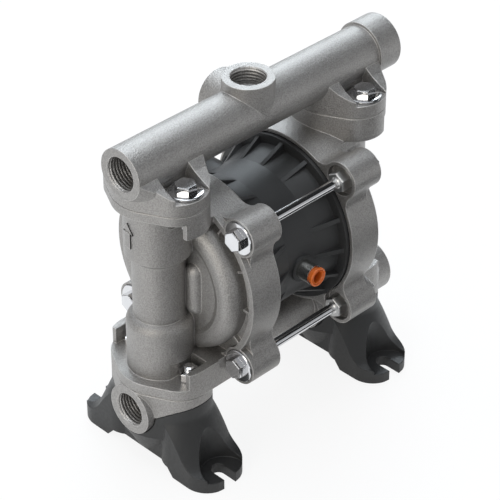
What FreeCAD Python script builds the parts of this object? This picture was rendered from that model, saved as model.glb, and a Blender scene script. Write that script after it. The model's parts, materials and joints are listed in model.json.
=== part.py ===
import FreeCAD, Part
import math
import os
import Sketcher
from FreeCAD import Placement, Rotation, Vector

# Air operated diaphragm pump with half inch ports, in millimetres.
# X runs along the pump shaft, the air inlet faces -Y and Z is up from the mounting surface.
# The origin is the middle of the four foot slots, on the floor.

DOC = FreeCAD.newDocument("DiaphragmPump")
SHEET = DOC.addObject("Spreadsheet::Sheet", "Sizes")

SIZES = [
    # main layout
    ("pump_axis_height", 102, "shaft axis above the floor"),
    ("riser_offset", 63.4, "riser and manifold flange, from the middle"),
    ("top_joint_rise", 58.8, "cap to outlet manifold face, above the shaft axis"),
    ("bottom_joint_drop", 53.6, "cap to inlet manifold face, below the shaft axis"),
    ("outlet_axis_rise", 18.2, "outlet pipe above its joint"),
    ("inlet_axis_drop", 13.7, "inlet ports below their joint"),
    # threaded ports, bored to the tapping size
    ("port_radius", 9.4, "half inch thread, tapping size"),
    ("port_depth", 15, "depth of the tapped length"),
    ("top_port_depth", 10, "same, middle port"),
    ("rear_port_depth", 12, "same, port at the back"),
    ("passage_radius", 8.4, "cast passage behind a port"),
    # fasteners
    ("thread_radius", 3, "M6 bolts"),
    ("bolt_hole_clearance", 0.3, "radial"),
    ("thread_clearance", 0.1, "radial, bolt in tapped hole or nut"),
    ("hex_flats", 10, "across flats of heads, nuts and rod ends"),
    ("head_height", 4, "bolt head"),
    ("nut_height", 5, "nut"),
    ("bolt_stick_out", 3, "bolt end beyond its nut"),
    ("washer_radius", 9, "captive washer"),
    ("washer_thickness", 1.5, "captive washer"),
    ("nut_clearance", 0.4, "nut between the walls of its pocket, per side"),
    ("bolt_inset", 10.2, "cap bolts from the shaft axis in Y and in Z, less than the rim radius"),
    ("tap_runout", 0.5, "tapped hole deeper than its bolt"),
    ("rod_radius", 2.65, "tie rod between its hex ends"),
    ("rod_hex_length", 7.1, "hex end of the tie rod"),
    ("rod_tap_floor", 1.7, "solid metal between its tapped hole and the bar"),
    ("lug_offset", 21, "manifold bolts from the riser axis, in Y"),
    # fluid cap
    ("cap_face", 26.5, "inner face, from the middle"),
    ("rim_wall", 2, "rim outside the seat of the housing flange and the diaphragm"),
    ("recess_depth", 3.5, "same"),
    ("skirt_radius", 49.5, "rim of the cap"),
    ("skirt_lip", 46, "outer edge of the rim, from the middle"),
    ("lip_width", 3.2, "rim lip"),
    ("groove_depth", 3.6, "groove inside the lip"),
    ("groove_width", 4.5, "same"),
    ("crown_offset", 54, "crest of the domed front, from the middle"),
    ("crown_round", 7.3, "rounding of the domed front, down to the groove"),
    ("crest_width", 2.5, "flat crest inside the rounding"),
    ("hub_slope", 2.5, "from the crest down to the flat middle"),
    ("hub_sink", 1, "flat middle below the crest"),
    ("cap_wall", 4.4, "casting wall"),
    ("lobe_radius", 10.4, "bolt boss of the cap"),
    ("lobe_fillet", 9, "bolt boss into the rim"),
    ("spotface_depth", 0.8, "under the cap washers"),
    ("spotface_clearance", 0.4, "round the cap washers"),
    ("rim_rib_count", 12, "small ribs across the groove"),
    ("rim_rib_width", 1.2, "same"),
    ("rim_rib_turn", 25, "first small rib, degrees from level"),
    ("rim_rib_sink", 1, "top of the small ribs below the lip"),
    ("rib_bite", 1, "length of a small rib inside the metal at each end"),
    ("rod_pocket_depth", 3.6, "round pocket for the rod end in the inner face"),
    ("rod_pocket_lip", 1.8, "wall of that pocket"),
    # riser of the cap
    ("upper_riser_radius", 17.2, "outlet valve chamber, outside"),
    ("upper_riser_drop", 35.8, "its lower edge below the top joint"),
    ("riser_radius", 13.7, "tube between the valve chambers"),
    ("bulb_radius", 17.6, "inlet valve chamber, outside"),
    ("bulb_rise", 38.6, "its upper end above the bottom joint"),
    ("bulb_round", 6, "shoulder rounding of the bulb"),
    ("hump_radius", 5.5, "upright bulge on each side of the riser"),
    ("hump_inset", 2.5, "its middle behind the crest"),
    ("hump_offset", 14.5, "its middle from the riser axis, in Y"),
    ("hump_half_height", 10, "straight part of the bulge, each way"),
    ("flange_radius", 23, "round middle of a flange"),
    ("lug_radius", 16.6, "round end of a flange"),
    ("lug_centre", 14, "middle of that round end from the riser axis, in Y"),
    ("joint_chamfer", 0.4, "edges of the mating faces"),
    ("top_flange_thickness", 5.2, "cap, upper flange"),
    ("bottom_flange_thickness", 6.1, "cap, lower flange"),
    ("top_slab_depth", 8.6, "nut walls below the upper flange"),
    ("bottom_wall_height", 9.3, "nut walls above the lower flange"),
    ("nut_wall_reach", 7.4, "outer end of the nut walls from the riser axis"),
    ("nut_back_gap", 1.2, "nut to the back wall of its pocket"),
    ("nut_inner_wall", 2.2, "wall between a lower nut pocket and the bulb"),
    ("neck_half_width", 22, "casting between the rim and the upper flange"),
    ("neck_height", 10, "same, from the rim inwards"),
    ("neck_reach", 5.4, "end of both necks inside the riser axis"),
    ("neck_start", 9, "start of both necks from the inner face"),
    # check valves
    ("valve_bore", 11, "chamber around the ball"),
    ("seat_clearance", 0.05, "seat ring in its bore, radial"),
    ("seat_height", 6, "seat ring"),
    ("seat_bore", 6.9, "seat ring"),
    ("seat_flare", 1.6, "bevel under the seat ring"),
    ("ball_radius", 8.5, "valve ball"),
    ("ball_gap", 0.2, "ball above its seat edge and below its stop"),
    ("ball_lift", 6, "travel of a ball"),
    ("stop_bore", 7.6, "passage past the ball stop"),
    ("upper_seat_drop", 33.8, "underside of the outlet seat, below the top joint"),
    ("seat_ledge", 4, "metal under the outlet seat"),
    ("spigot_clearance", 0.2, "ball stop of the manifold in the cap, radial"),
    ("stop_slot_width", 7, "openings between the fingers of the stop"),
    ("stop_slot_top", 3, "upper end of those openings below the joint"),
    # outlet manifold
    ("pipe_radius", 13.6, "outlet pipe"),
    ("near_end", 86.4, "left end of both manifolds, from the middle"),
    ("far_end", 97.5, "right end of both manifolds, from the middle"),
    ("collar_radius", 15.2, "collar at the right end"),
    ("collar_length", 15, "same"),
    ("outlet_lug_thickness", 7, "lug of the outlet manifold"),
    ("top_port_rise", 18.5, "rim of the middle port above the pipe axis"),
    ("rear_port_reach", 22, "rim of the port at the back, from the middle"),
    ("bay_half_width", 10.2, "open bay round a manifold bolt"),
    ("bay_shift", 1.2, "bays set over towards the left end"),
    ("bay_depth", 2, "bays start inside the pipe surface"),
    ("web_top", 11.5, "height of the webs beside the bay, at the pipe"),
    ("web_waist", 6.5, "same, at the inner bolt edge"),
    ("web_low", 3.2, "same, at the outer bolt edge"),
    ("web_edge", 0.4, "same, at the lug edge"),
    ("web_step", 3.2, "inner and outer bolt edge from the bolt axis"),
    ("chin_flare", 5.4, "port ring widened into the drum wall"),
    ("chin_length", 6, "same"),
    # inlet manifold
    ("inlet_boss_radius", 14, "round an inlet port"),
    ("runner_radius", 11, "pipe between the two inlet bosses"),
    ("runner_gap", 0.6, "top of the runner below the joint"),
    ("runner_wall", 3.5, "same"),
    ("wedge_edge", 5.2, "lug thickness at its bolt edge"),
    ("wedge_mid", 8, "same, at the bolt"),
    ("wedge_root", 15.5, "same, at the port boss"),
    # foot
    ("foot_waist", 14.6, "half the width of the middle, along X"),
    ("foot_waist_height", 16, "straight part of the middle"),
    ("foot_shoulder_drop", 14.4, "lower end of the upright ends, below the joint"),
    ("foot_half_length", 50.3, "along Y"),
    ("pad_half_width", 17, "along X"),
    ("pad_round", 14, "corners of the pads"),
    ("pad_start", 8, "inner end of the pad outline, from the middle"),
    ("pad_edge", 7.8, "height of the pad at its outer end"),
    ("pad_rise", 2, "more height where the flank begins"),
    ("flank_inset", 9.3, "start of the flank, from the end of the foot"),
    ("flank_fillet", 13, "hollow curve from the pad to the flank"),
    ("shoulder_fillet", 9, "curve from the flank to the upright end"),
    ("recess_floor", 6, "pad thickness around the slots"),
    ("pad_recess_radius", 12.6, "recess round the slot"),
    ("pad_recess_shift", 4.1, "its middle beyond the closed slot end"),
    ("slot_radius", 4, "open ended slot, half its width"),
    ("slot_inset", 8.8, "middle of the closed slot end, from the end of the foot"),
    ("arch_height", 4.8, "under the middle of the foot"),
    ("arch_half_length", 25, "same"),
    ("arch_slope", 4, "run of the arch ends"),
    ("foot_clearance", 0.4, "inlet manifold in the foot saddle"),
    ("foot_bolt_drop", 24.4, "washer face in the foot, below the joint"),
    ("foot_pocket_clearance", 0.5, "round the washer"),
    # centre housing
    ("housing_half_length", 27.5, "to the diaphragm face"),
    ("flange_gap", 0.5, "housing flange and diaphragm in their seat, radial"),
    ("housing_flange_thickness", 3.2, "same"),
    ("waist_drop", 8.4, "round middle below the edge of the flange"),
    ("waist_slope", 3, "cone from the waist to the flange"),
    ("housing_rib_count", 16, "at each end"),
    ("housing_rib_width", 2.4, "same"),
    ("housing_rib_length", 15, "same, along the shaft"),
    ("housing_rib_bite", 2, "foot of a rib inside the drum"),
    ("housing_rib_sink", 1, "top of a rib below the flange edge"),
    ("clamped_width", 6, "sealing face of the flange, round the air chamber"),
    ("air_chamber_depth", 11, "same"),
    ("air_floor_radius", 30, "flat floor of the air chamber"),
    ("shaft_radius", 6, "diaphragm shaft"),
    ("shaft_way_clearance", 1, "shaft in the housing between its bushes, radial"),
    ("running_clearance", 0.04, "shaft, pilot rod and spool, radial"),
    ("bush_radius", 8.5, "shaft bush, outside"),
    ("bush_length", 9, "shaft bush"),
    # diaphragms and plates
    ("diaphragm_thickness", 2.5, "rim and middle"),
    ("fold_height", 4, "rolled fold of the diaphragm"),
    ("fold_top_width", 4, "same, at its top"),
    ("fold_gap", 3, "inner plate to the fold"),
    ("fold_margin", 1, "fold to the wall of the air chamber"),
    ("inner_plate_radius", 24, "air side"),
    ("inner_plate_thickness", 4, "same"),
    ("inner_plate_bevel", 2, "same"),
    ("outer_plate_radius", 22, "fluid side"),
    ("outer_plate_thickness", 6, "same"),
    ("outer_plate_bevel", 8, "same"),
    ("stud_radius", 4, "threaded end of the shaft"),
    ("stud_reach", 4.5, "into the outer plate"),
    # air valve
    ("spool_axis_rise", 20, "spool axis above the shaft axis"),
    ("spool_radius", 5, "lands"),
    ("spool_waist", 3.2, "between the lands"),
    ("spool_length", 40, "overall"),
    ("spool_gap", 0.4, "spool to the closed end of its sleeve"),
    ("land_length", 5, "each of four"),
    ("sleeve_radius", 8, "valve sleeve, outside"),
    ("sleeve_front", 24, "closed end of the valve bore, from the middle"),
    ("sleeve_wall", 3, "closed front end of the sleeve"),
    ("sleeve_port_radius", 1.6, "air ports of the sleeve"),
    ("valve_boss_radius", 12, "round the valve bore at the back"),
    ("valve_boss_reach", 39, "rim of that boss, from the middle"),
    ("end_cap_radius", 10.5, "flange of the valve end cap"),
    ("end_cap_thickness", 3.5, "same"),
    ("end_cap_plug", 5, "length inside the bore"),
    ("end_cap_socket", 8, "across flats of its hex socket"),
    ("end_cap_floor", 1, "below the socket"),
    ("pilot_axis_drop", 17, "pilot rod axis below the shaft axis"),
    ("pilot_radius", 2.5, "pilot rod"),
    ("pilot_reach", 3.2, "past the air chamber floor at mid travel"),
    # air inlet and exhaust
    ("air_inlet_drop", 2, "air fitting below the shaft axis"),
    ("air_boss_radius", 7.4, "boss under the fitting"),
    ("air_boss_rise", 1, "boss above the round middle"),
    ("air_way_radius", 2.8, "air passage in the housing"),
    ("fitting_radius", 5.3, "push-in fitting body"),
    ("fitting_reach", 47.4, "front of the fitting body, from the middle"),
    ("fitting_depth", 12, "length inside the housing"),
    ("fitting_thread_radius", 4.8, "end screwed into the housing"),
    ("tube_radius", 3, "air tube that the collet takes"),
    ("tube_stop", 0.8, "ledge that stops the tube"),
    ("collet_clearance", 0.1, "tube in the collet, radial"),
    ("collet_body_radius", 4.2, "part inside the fitting"),
    ("collet_ring_radius", 5.2, "ring outside the fitting"),
    ("collet_ring_length", 1.6, "same"),
    ("collet_length", 9, "part inside the fitting"),
    ("collet_room", 1.5, "fitting bore deeper than the pressed collet"),
    ("collet_travel", 1.2, "pressed in to free the tube"),
    ("collet_gap", 0.3, "left under the ring when it is pressed"),
    ("exhaust_radius", 7, "muffler body"),
    ("exhaust_length", 20, "muffler body"),
    ("exhaust_wall", 2, "same"),
    ("exhaust_drop", 14, "muffler axis below the shaft axis"),
    ("exhaust_boss_radius", 10, "boss of the muffler thread"),
    ("exhaust_boss_rise", 2, "boss above the round middle"),
    ("exhaust_thread_radius", 5.4, "muffler thread"),
    ("exhaust_way_radius", 3.4, "exhaust passage in the housing"),
    ("exhaust_hex", 15, "across flats of the muffler base"),
    ("exhaust_hex_length", 5, "same"),
    ("exhaust_slit_count", 8, "round the muffler"),
    ("exhaust_slit_width", 1.6, "same"),
    ("exhaust_slit_margin", 3, "same, from the hex and from the end"),
]

for row, (alias, number, note) in enumerate(SIZES, start=1):
    SHEET.set(f"A{row}", alias)
    SHEET.set(f"B{row}", str(number))
    SHEET.set(f"C{row}", note)
    SHEET.setAlias(f"B{row}", alias)
DOC.recompute()


class Size:
    """A number together with the expression that keeps it bound to the sheet."""

    def __init__(self, number, text=None):
        self.number = float(number)
        self.text = text or f"({number})"

    def join(self, other, sign, number):
        return Size(number, f"({self.text} {sign} {size(other).text})")

    def __add__(self, other):
        return self.join(other, "+", self.number + size(other).number)

    def __sub__(self, other):
        return self.join(other, "-", self.number - size(other).number)

    def __mul__(self, other):
        return self.join(other, "*", self.number * size(other).number)

    def __truediv__(self, other):
        return self.join(other, "/", self.number / size(other).number)

    def __neg__(self):
        return Size(0) - self

    def __radd__(self, other):
        return size(other) + self

    def __rsub__(self, other):
        return size(other) - self

    def __rmul__(self, other):
        return size(other) * self

    def __rtruediv__(self, other):
        return size(other) / self


def size(value):
    return value if isinstance(value, Size) else Size(value)


def root(value):
    return Size(math.sqrt(value.number), f"sqrt({value.text})")


class Sheet:
    """Every alias of the sheet as an attribute."""

    def __init__(self):
        for alias, number, note in SIZES:
            setattr(self, alias, Size(number, f"Sizes.{alias}"))


S = Sheet()
NODES = []


# basic shapes

TURN = {
    "x": Rotation(Vector(0, 1, 0), 90),
    "-x": Rotation(Vector(0, 1, 0), -90),
    "y": Rotation(Vector(1, 0, 0), -90),
    "-y": Rotation(Vector(1, 0, 0), 90),
    "z": Rotation(),
    "-z": Rotation(Vector(1, 0, 0), 180),
}


def bind(item, name, value):
    item.setExpression(name, size(value).text)


def place(item, at, axis="z"):
    item.Placement = Placement(Vector(*[size(v).number for v in at]), TURN[axis])
    for letter, value in zip("xyz", at):
        bind(item, f"Placement.Base.{letter}", value)
    return item


def shape(kind, name, at, axis, **sizes):
    item = DOC.addObject(f"Part::{kind}", name)
    for prop, value in sizes.items():
        setattr(item, prop, size(value).number)
        bind(item, prop, value)
    return place(item, at, axis)


def cylinder(name, radius, length, at, axis="z"):
    return shape("Cylinder", name, at, axis, Radius=radius, Height=length)


def cone(name, first, last, length, at, axis="z"):
    return shape("Cone", name, at, axis, Radius1=first, Radius2=last, Height=length)


def box(name, lengths, at):
    return shape("Box", name, at, "z", Length=lengths[0], Width=lengths[1], Height=lengths[2])


def block(name, low, high):
    return box(name, [size(b) - a for a, b in zip(low, high)], low)


def sphere(name, radius, at):
    return shape("Sphere", name, at, "z", Radius=radius)


def hexagon(name, flats, length, at, axis="z"):
    item = shape("Prism", name, at, axis, Circumradius=flats / math.sqrt(3), Height=length)
    item.Polygon = 6
    return item


def union(name, pieces):
    if len(pieces) == 1:
        return pieces[0]
    item = DOC.addObject("Part::MultiFuse", name)
    item.Shapes = pieces
    item.Refine = True
    return item


def minus(name, base, cutters):
    item = DOC.addObject("Part::Cut", name)
    item.Base = base
    item.Tool = union(f"{name}_cutters", cutters)
    item.Refine = True
    return item


def common(name, first, second):
    item = DOC.addObject("Part::MultiCommon", name)
    item.Shapes = [first, second]
    item.Refine = True
    return item


def mirrored(name, source, normal):
    item = DOC.addObject("Part::Mirroring", name)
    item.Source = source
    item.Normal = Vector(*normal)
    return item


def polygon(sketch, corners):
    """Closed outline; every corner is bound to two sizes measured from the sketch origin."""
    spots = [Vector(size(a).number, size(b).number, 0) for a, b in corners]
    count = len(spots)
    for i in range(count):
        sketch.addGeometry(Part.LineSegment(spots[i], spots[(i + 1) % count]))
    for i in range(count):
        sketch.addConstraint(Sketcher.Constraint("Coincident", i, 2, (i + 1) % count, 1))
    for i, corner in enumerate(corners):
        for kind, value in zip(("DistanceX", "DistanceY"), corner):
            number = size(value).number
            index = sketch.addConstraint(Sketcher.Constraint(kind, -1, 1, i, 1, number))
            bind(sketch, f"Constraints[{index}]", value)


PLANE = {
    "XY": Rotation(),
    "YZ": Rotation(Vector(0, 1, 0), Vector(0, 0, 1), Vector(1, 0, 0), "ZXY"),
    "XZ": Rotation(Vector(1, 0, 0), Vector(0, 0, 1), Vector(0, -1, 0), "ZXY"),
}


def prism(name, plane, corners, length, at):
    """Outline drawn in one plane at a point and pushed along the normal of that plane."""
    sketch = DOC.addObject("Sketcher::SketchObject", f"{name}_outline")
    sketch.Placement = Placement(Vector(*[size(v).number for v in at]), PLANE[plane])
    for letter, value in zip("xyz", at):
        bind(sketch, f"Placement.Base.{letter}", value)
    polygon(sketch, corners)
    item = DOC.addObject("Part::Extrusion", name)
    item.Base = sketch
    item.DirMode = "Normal"
    item.LengthFwd = size(length).number
    bind(item, "LengthFwd", length)
    item.Solid = True
    return item


def spun(name, corners, at):
    """Outline of distance and radius, spun round a line through a point along X."""
    sketch = DOC.addObject("Sketcher::SketchObject", f"{name}_outline")
    sketch.Placement = Placement(Vector(*[size(v).number for v in at]), PLANE["XZ"])
    for letter, value in zip("xyz", at):
        bind(sketch, f"Placement.Base.{letter}", value)
    polygon(sketch, corners)
    item = DOC.addObject("Part::Revolution", name)
    item.Source = sketch
    item.Axis = Vector(1, 0, 0)
    item.Solid = True
    for letter, value in zip("xyz", at):
        bind(item, f"Base.{letter}", value)
    return item


def rounded(name, base, chosen, radius):
    """Fillet on the edges that the chosen test accepts."""
    DOC.recompute()
    edges = [i for i, edge in enumerate(base.Shape.Edges, start=1) if chosen(edge)]
    if not edges:
        raise ValueError(f"{name}: no edge to round")
    item = DOC.addObject("Part::Fillet", name)
    item.Base = base
    item.Edges = [(i, radius.number, radius.number) for i in edges]
    return item


def near(value, target, slack=0.02):
    return abs(value - size(target).number) < slack


def is_ring(edge, axis, radius, along):
    """Full or part circle about a line: its axis letter, radius and position along the axis."""
    curve = edge.Curve
    if not isinstance(curve, Part.Circle):
        return False
    return near(curve.Radius, radius) and near(getattr(curve.Center, axis), along)


def node(name, item):
    item.Label = name
    NODES.append(item)
    return item


def signs(names):
    return list(zip(names, (-1, 1)))


SIDES = signs(["left", "right"])
DEPTHS = signs(["front", "rear"])
LEVELS = signs(["lower", "upper"])


# heights that several pieces share

AXIS_Z = S.pump_axis_height
TOP_JOINT = AXIS_Z + S.top_joint_rise
LOW_JOINT = AXIS_Z - S.bottom_joint_drop
OUTLET_Z = TOP_JOINT + S.outlet_axis_rise
INLET_Z = LOW_JOINT - S.inlet_axis_drop
FLANGE_END = S.lug_centre + S.lug_radius
BOLT_HOLE = S.thread_radius + S.bolt_hole_clearance

# widths that follow the rim of the caps

BOLT_OFFSET = S.skirt_radius - S.bolt_inset
RECESS_RADIUS = S.skirt_radius - S.rim_wall
SEALED_RADIUS = RECESS_RADIUS - S.flange_gap
CHAMBER_RADIUS = SEALED_RADIUS - S.clamped_width
WAIST_RADIUS = SEALED_RADIUS - S.waist_drop


# shared shapes of the flanges

def oval(name, thickness, at):
    """Two bolt flange: a round middle and two round ends joined by their tangents."""
    big = S.flange_radius
    small = S.lug_radius
    rise = (big - small) / S.lug_centre
    run = root(1 - rise * rise)
    corners = []
    for side_x, side_y in ((1, 1), (-1, 1), (-1, -1), (1, -1)):
        wide = (side_x * big * run, side_y * big * rise)
        tip = (side_x * small * run, side_y * (S.lug_centre + small * rise))
        corners += [wide, tip] if side_x == side_y else [tip, wide]
    x, y, z = at
    pieces = [
        prism(f"{name}_web", "XY", corners, thickness, at),
        cylinder(f"{name}_middle", big, thickness, at),
    ]
    for label, sign in DEPTHS:
        spot = (x, y + sign * S.lug_centre, z)
        pieces.append(cylinder(f"{name}_{label}_end", small, thickness, spot))
    return union(name, pieces)


def span(sign, low, high):
    """Two distances from the middle plane, in rising order on the side of the sign."""
    return (low, high) if sign > 0 else (-size(high), -size(low))


def bevelled(name, base, height):
    """Small chamfer round a mating face at one height."""
    DOC.recompute()
    edges = []
    for i, edge in enumerate(base.Shape.Edges, start=1):
        box_of_edge = edge.BoundBox
        if near(box_of_edge.ZMin, height) and near(box_of_edge.ZMax, height):
            edges.append((i, S.joint_chamfer.number, S.joint_chamfer.number))
    item = DOC.addObject("Part::Chamfer", name)
    item.Base = base
    item.Edges = edges
    return item


# fluid cap, drawn on the right hand side

RECESS_FLOOR = S.cap_face + S.recess_depth
SKIRT_OUT = S.skirt_lip - S.groove_depth
GROOVE_OUT = S.skirt_radius - S.lip_width
GROOVE_IN = GROOVE_OUT - S.groove_width
TOP_FLANGE_LOW = TOP_JOINT - S.top_flange_thickness
LOW_FLANGE_TOP = LOW_JOINT + S.bottom_flange_thickness
LOW_WALL_TOP = LOW_FLANGE_TOP + S.bottom_wall_height
HUB_INSIDE = S.crown_offset - S.hub_sink - S.cap_wall
NUT_POCKET_HALF = S.hex_flats / 2 + S.nut_clearance
NUT_POCKET_BACK = S.hex_flats / math.sqrt(3) + S.nut_back_gap
LOWER_SEAT_TOP = LOW_JOINT + S.seat_height
UPPER_SEAT = TOP_JOINT - S.upper_seat_drop
BALL_SIT = root(S.ball_radius * S.ball_radius - S.seat_bore * S.seat_bore) + S.ball_gap
STOP_SIT = root(S.ball_radius * S.ball_radius - S.stop_bore * S.stop_bore) + S.ball_gap
LOWER_BALL = LOWER_SEAT_TOP + BALL_SIT
UPPER_BALL = UPPER_SEAT + S.seat_height + BALL_SIT
LOWER_STOP = LOWER_BALL + S.ball_lift + STOP_SIT
UPPER_STOP = UPPER_BALL + S.ball_lift + STOP_SIT


def rim_of_cap():
    """Rim with its four bolt bosses, padded and filleted as one casting outline."""
    body = DOC.addObject("PartDesign::Body", "CapRim")
    plane = [f for f in body.Origin.OriginFeatures if f.Role == "YZ_Plane"][0]
    sketch = body.newObject("Sketcher::SketchObject", "RimCircle")
    sketch.AttachmentSupport = (plane, [""])
    sketch.MapMode = "FlatFace"
    bind(sketch, "AttachmentOffset.Base.z", S.cap_face)
    rim = sketch.addGeometry(Part.Circle(Vector(0, AXIS_Z.number, 0), Vector(0, 0, 1),
                                         S.skirt_radius.number))
    dimension_circle(sketch, rim, size(0), AXIS_Z, S.skirt_radius)
    pad = body.newObject("PartDesign::Pad", "RimPad")
    pad.Profile = sketch
    bind(pad, "Length", SKIRT_OUT - S.cap_face)
    DOC.recompute()
    bosses = body.newObject("Sketcher::SketchObject", "BossCircles")
    bosses.AttachmentSupport = (plane, [""])
    bosses.MapMode = "FlatFace"
    bind(bosses, "AttachmentOffset.Base.z", S.cap_face)
    for _, side in DEPTHS:
        for _, level in LEVELS:
            across = side * BOLT_OFFSET
            height = AXIS_Z + level * BOLT_OFFSET
            spot = Vector(across.number, height.number, 0)
            lobe = bosses.addGeometry(Part.Circle(spot, Vector(0, 0, 1), S.lobe_radius.number))
            dimension_circle(bosses, lobe, across, height, S.lobe_radius)
    lobes = body.newObject("PartDesign::Pad", "BossPad")
    lobes.Profile = bosses
    bind(lobes, "Length", SKIRT_OUT - S.cap_face)
    DOC.recompute()
    valleys = []
    for i, edge in enumerate(lobes.Shape.Edges, start=1):
        ends = [v.Point for v in edge.Vertexes]
        if len(ends) == 2 and near(abs(ends[0].x - ends[1].x), SKIRT_OUT - S.cap_face):
            if abs(ends[0].y - ends[1].y) < 0.01 and abs(ends[0].z - ends[1].z) < 0.01:
                valleys.append(f"Edge{i}")
    fillet = body.newObject("PartDesign::Fillet", "BossFillet")
    fillet.Base = (lobes, valleys)
    bind(fillet, "Radius", S.lobe_fillet)
    body.Tip = fillet
    return body


def dimension_circle(sketch, index, across, height, radius):
    """Bind the centre and the radius of a circle in a sketch."""
    for kind, value in (("DistanceX", across), ("DistanceY", height)):
        if near(value.number, 0):
            row = sketch.addConstraint(Sketcher.Constraint("PointOnObject", index, 3, -2))
        else:
            constraint = Sketcher.Constraint(kind, -1, 1, index, 3, value.number)
            row = sketch.addConstraint(constraint)
            bind(sketch, f"Constraints[{row}]", value)
    row = sketch.addConstraint(Sketcher.Constraint("Radius", index, radius.number))
    bind(sketch, f"Constraints[{row}]", radius)


def crown_of_cap():
    """Domed front that covers the fluid chamber, rounded down to the groove."""
    crest = S.crown_offset
    crest_in = GROOVE_IN - S.crown_round - S.crest_width
    crown = spun("CapCrown", [
        (S.cap_face, size(0)), (S.cap_face, GROOVE_IN), (crest, GROOVE_IN), (crest, crest_in),
        (crest - S.hub_sink, crest_in - S.hub_slope), (crest - S.hub_sink, size(0)),
    ], (0, 0, AXIS_Z))
    return rounded("CrownRound", crown, lambda e: is_ring(
        e, "x", GROOVE_IN, crest), S.crown_round)


def lip_of_cap():
    """Raised lip that follows the outline of the rim, with small ribs across the groove."""
    lip = cylinder("LipDisc", S.skirt_radius, S.groove_depth, (SKIRT_OUT, 0, AXIS_Z), "x")
    inside = cylinder("LipInside", GROOVE_OUT, S.groove_depth, (SKIRT_OUT, 0, AXIS_Z), "x")
    pieces = [minus("LipRing", lip, [inside])]
    for depth, side in DEPTHS:
        for level, rise in LEVELS:
            spot = (SKIRT_OUT, side * BOLT_OFFSET, AXIS_Z + rise * BOLT_OFFSET)
            pieces.append(cylinder(f"LipBoss_{depth}_{level}", S.lobe_radius, S.groove_depth,
                                   spot, "x"))
    height = S.groove_depth - S.rim_rib_sink
    length = S.groove_width + 2 * S.rib_bite
    start = GROOVE_IN - S.rib_bite
    for i in range(int(S.rim_rib_count.number)):
        rib = box(f"RimRib{i}", (height, S.rim_rib_width, length), (0, 0, 0))
        angle = S.rim_rib_turn.number + 360 * i / S.rim_rib_count.number
        turn = Rotation(Vector(1, 0, 0), 90 - angle)
        reach = turn.multVec(Vector(0, 0, 1))
        across = turn.multVec(Vector(0, 1, 0))
        rib.Placement = Placement(Vector(), turn)
        half = S.rim_rib_width / 2
        bind(rib, "Placement.Base.x", SKIRT_OUT)
        bind(rib, "Placement.Base.y", start * reach.y - half * across.y)
        bind(rib, "Placement.Base.z", AXIS_Z + start * reach.z - half * across.z)
        pieces.append(rib)
    return pieces


def riser_of_cap():
    """Upright with the two valve chambers, its flanges, nut walls and necks."""
    x = S.riser_offset
    bulb_top = LOW_JOINT + S.bulb_rise
    riser_foot = TOP_JOINT - S.upper_riser_drop
    widening = S.upper_riser_radius - S.riser_radius
    bulb = cylinder("Bulb", S.bulb_radius, S.bulb_rise, (x, 0, LOW_JOINT))
    rounded_bulb = rounded("BulbRound", bulb, lambda e: is_ring(
        e, "z", S.bulb_radius, bulb_top), S.bulb_round)
    top_flange = oval("TopFlange", S.top_flange_thickness, (x, 0, TOP_FLANGE_LOW))
    low_flange = oval("BottomFlange", S.bottom_flange_thickness, (x, 0, LOW_JOINT))
    slab_low = TOP_FLANGE_LOW - S.top_slab_depth
    slab_half = (S.flange_radius + S.nut_wall_reach) / 2
    slab = block("SlabLimit", (x - S.flange_radius, -FLANGE_END, slab_low),
                 (x - S.flange_radius + 2 * slab_half, FLANGE_END, TOP_FLANGE_LOW))
    pieces = [
        rounded_bulb,
        cylinder("RiserTube", S.riser_radius, TOP_JOINT - LOW_JOINT, (x, 0, LOW_JOINT)),
        cylinder("UpperRiser", S.upper_riser_radius, S.upper_riser_drop, (x, 0, riser_foot)),
        cone("UpperRiserCone", S.riser_radius, S.upper_riser_radius, widening,
             (x, 0, riser_foot - widening)),
        bevelled("TopFlangeEdge", top_flange, TOP_JOINT),
        bevelled("BottomFlangeEdge", low_flange, LOW_JOINT),
        common("TopSlab", oval("TopSlabPlan", S.top_slab_depth, (x, 0, slab_low)), slab),
        top_neck(),
    ]
    return pieces + bottom_neck() + humps()


def top_neck():
    """The rim carried on outwards under the upper flange."""
    start = S.cap_face + S.neck_start
    reach = S.riser_offset - S.neck_reach
    rim = cylinder("TopNeckRim", S.skirt_radius, reach - start, (start, 0, AXIS_Z), "x")
    top = AXIS_Z + S.skirt_radius
    limit = block("TopNeckLimit", (start, -S.neck_half_width, top - S.neck_height),
                  (reach, S.neck_half_width, top))
    return common("TopNeck", rim, limit)


def bottom_neck():
    """Block from the rim to the lower flange, as wide as the flange, with the nut walls."""
    start = S.cap_face + S.neck_start
    x = S.riser_offset
    inner = S.lug_offset - NUT_POCKET_HALF - S.nut_inner_wall
    pieces = [block("BottomNeck", (start, -FLANGE_END, LOW_JOINT), (x, FLANGE_END, LOW_FLANGE_TOP))]
    for depth, side in DEPTHS:
        low, high = span(side, inner, FLANGE_END)
        pieces.append(block(f"NutPlateau_{depth}", (start, low, LOW_FLANGE_TOP),
                            (x, high, LOW_WALL_TOP)))
        plan = oval(f"NutWallPlan_{depth}", S.bottom_wall_height, (x, 0, LOW_FLANGE_TOP))
        limit = block(f"NutWallLimit_{depth}", (x, low, LOW_FLANGE_TOP),
                      (x + S.nut_wall_reach, high, LOW_WALL_TOP))
        pieces.append(common(f"NutWall_{depth}", plan, limit))
    return pieces


def humps():
    """Upright bulges where the front of the cap runs into the riser."""
    x = S.crown_offset - S.hump_inset
    pieces = []
    for depth, side in DEPTHS:
        y = side * S.hump_offset
        pieces.append(cylinder(f"Hump_{depth}", S.hump_radius, 2 * S.hump_half_height,
                               (x, y, AXIS_Z - S.hump_half_height)))
        for level, rise in LEVELS:
            pieces.append(sphere(f"HumpEnd_{depth}_{level}", S.hump_radius,
                                 (x, y, AXIS_Z + rise * S.hump_half_height)))
    return pieces


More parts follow.
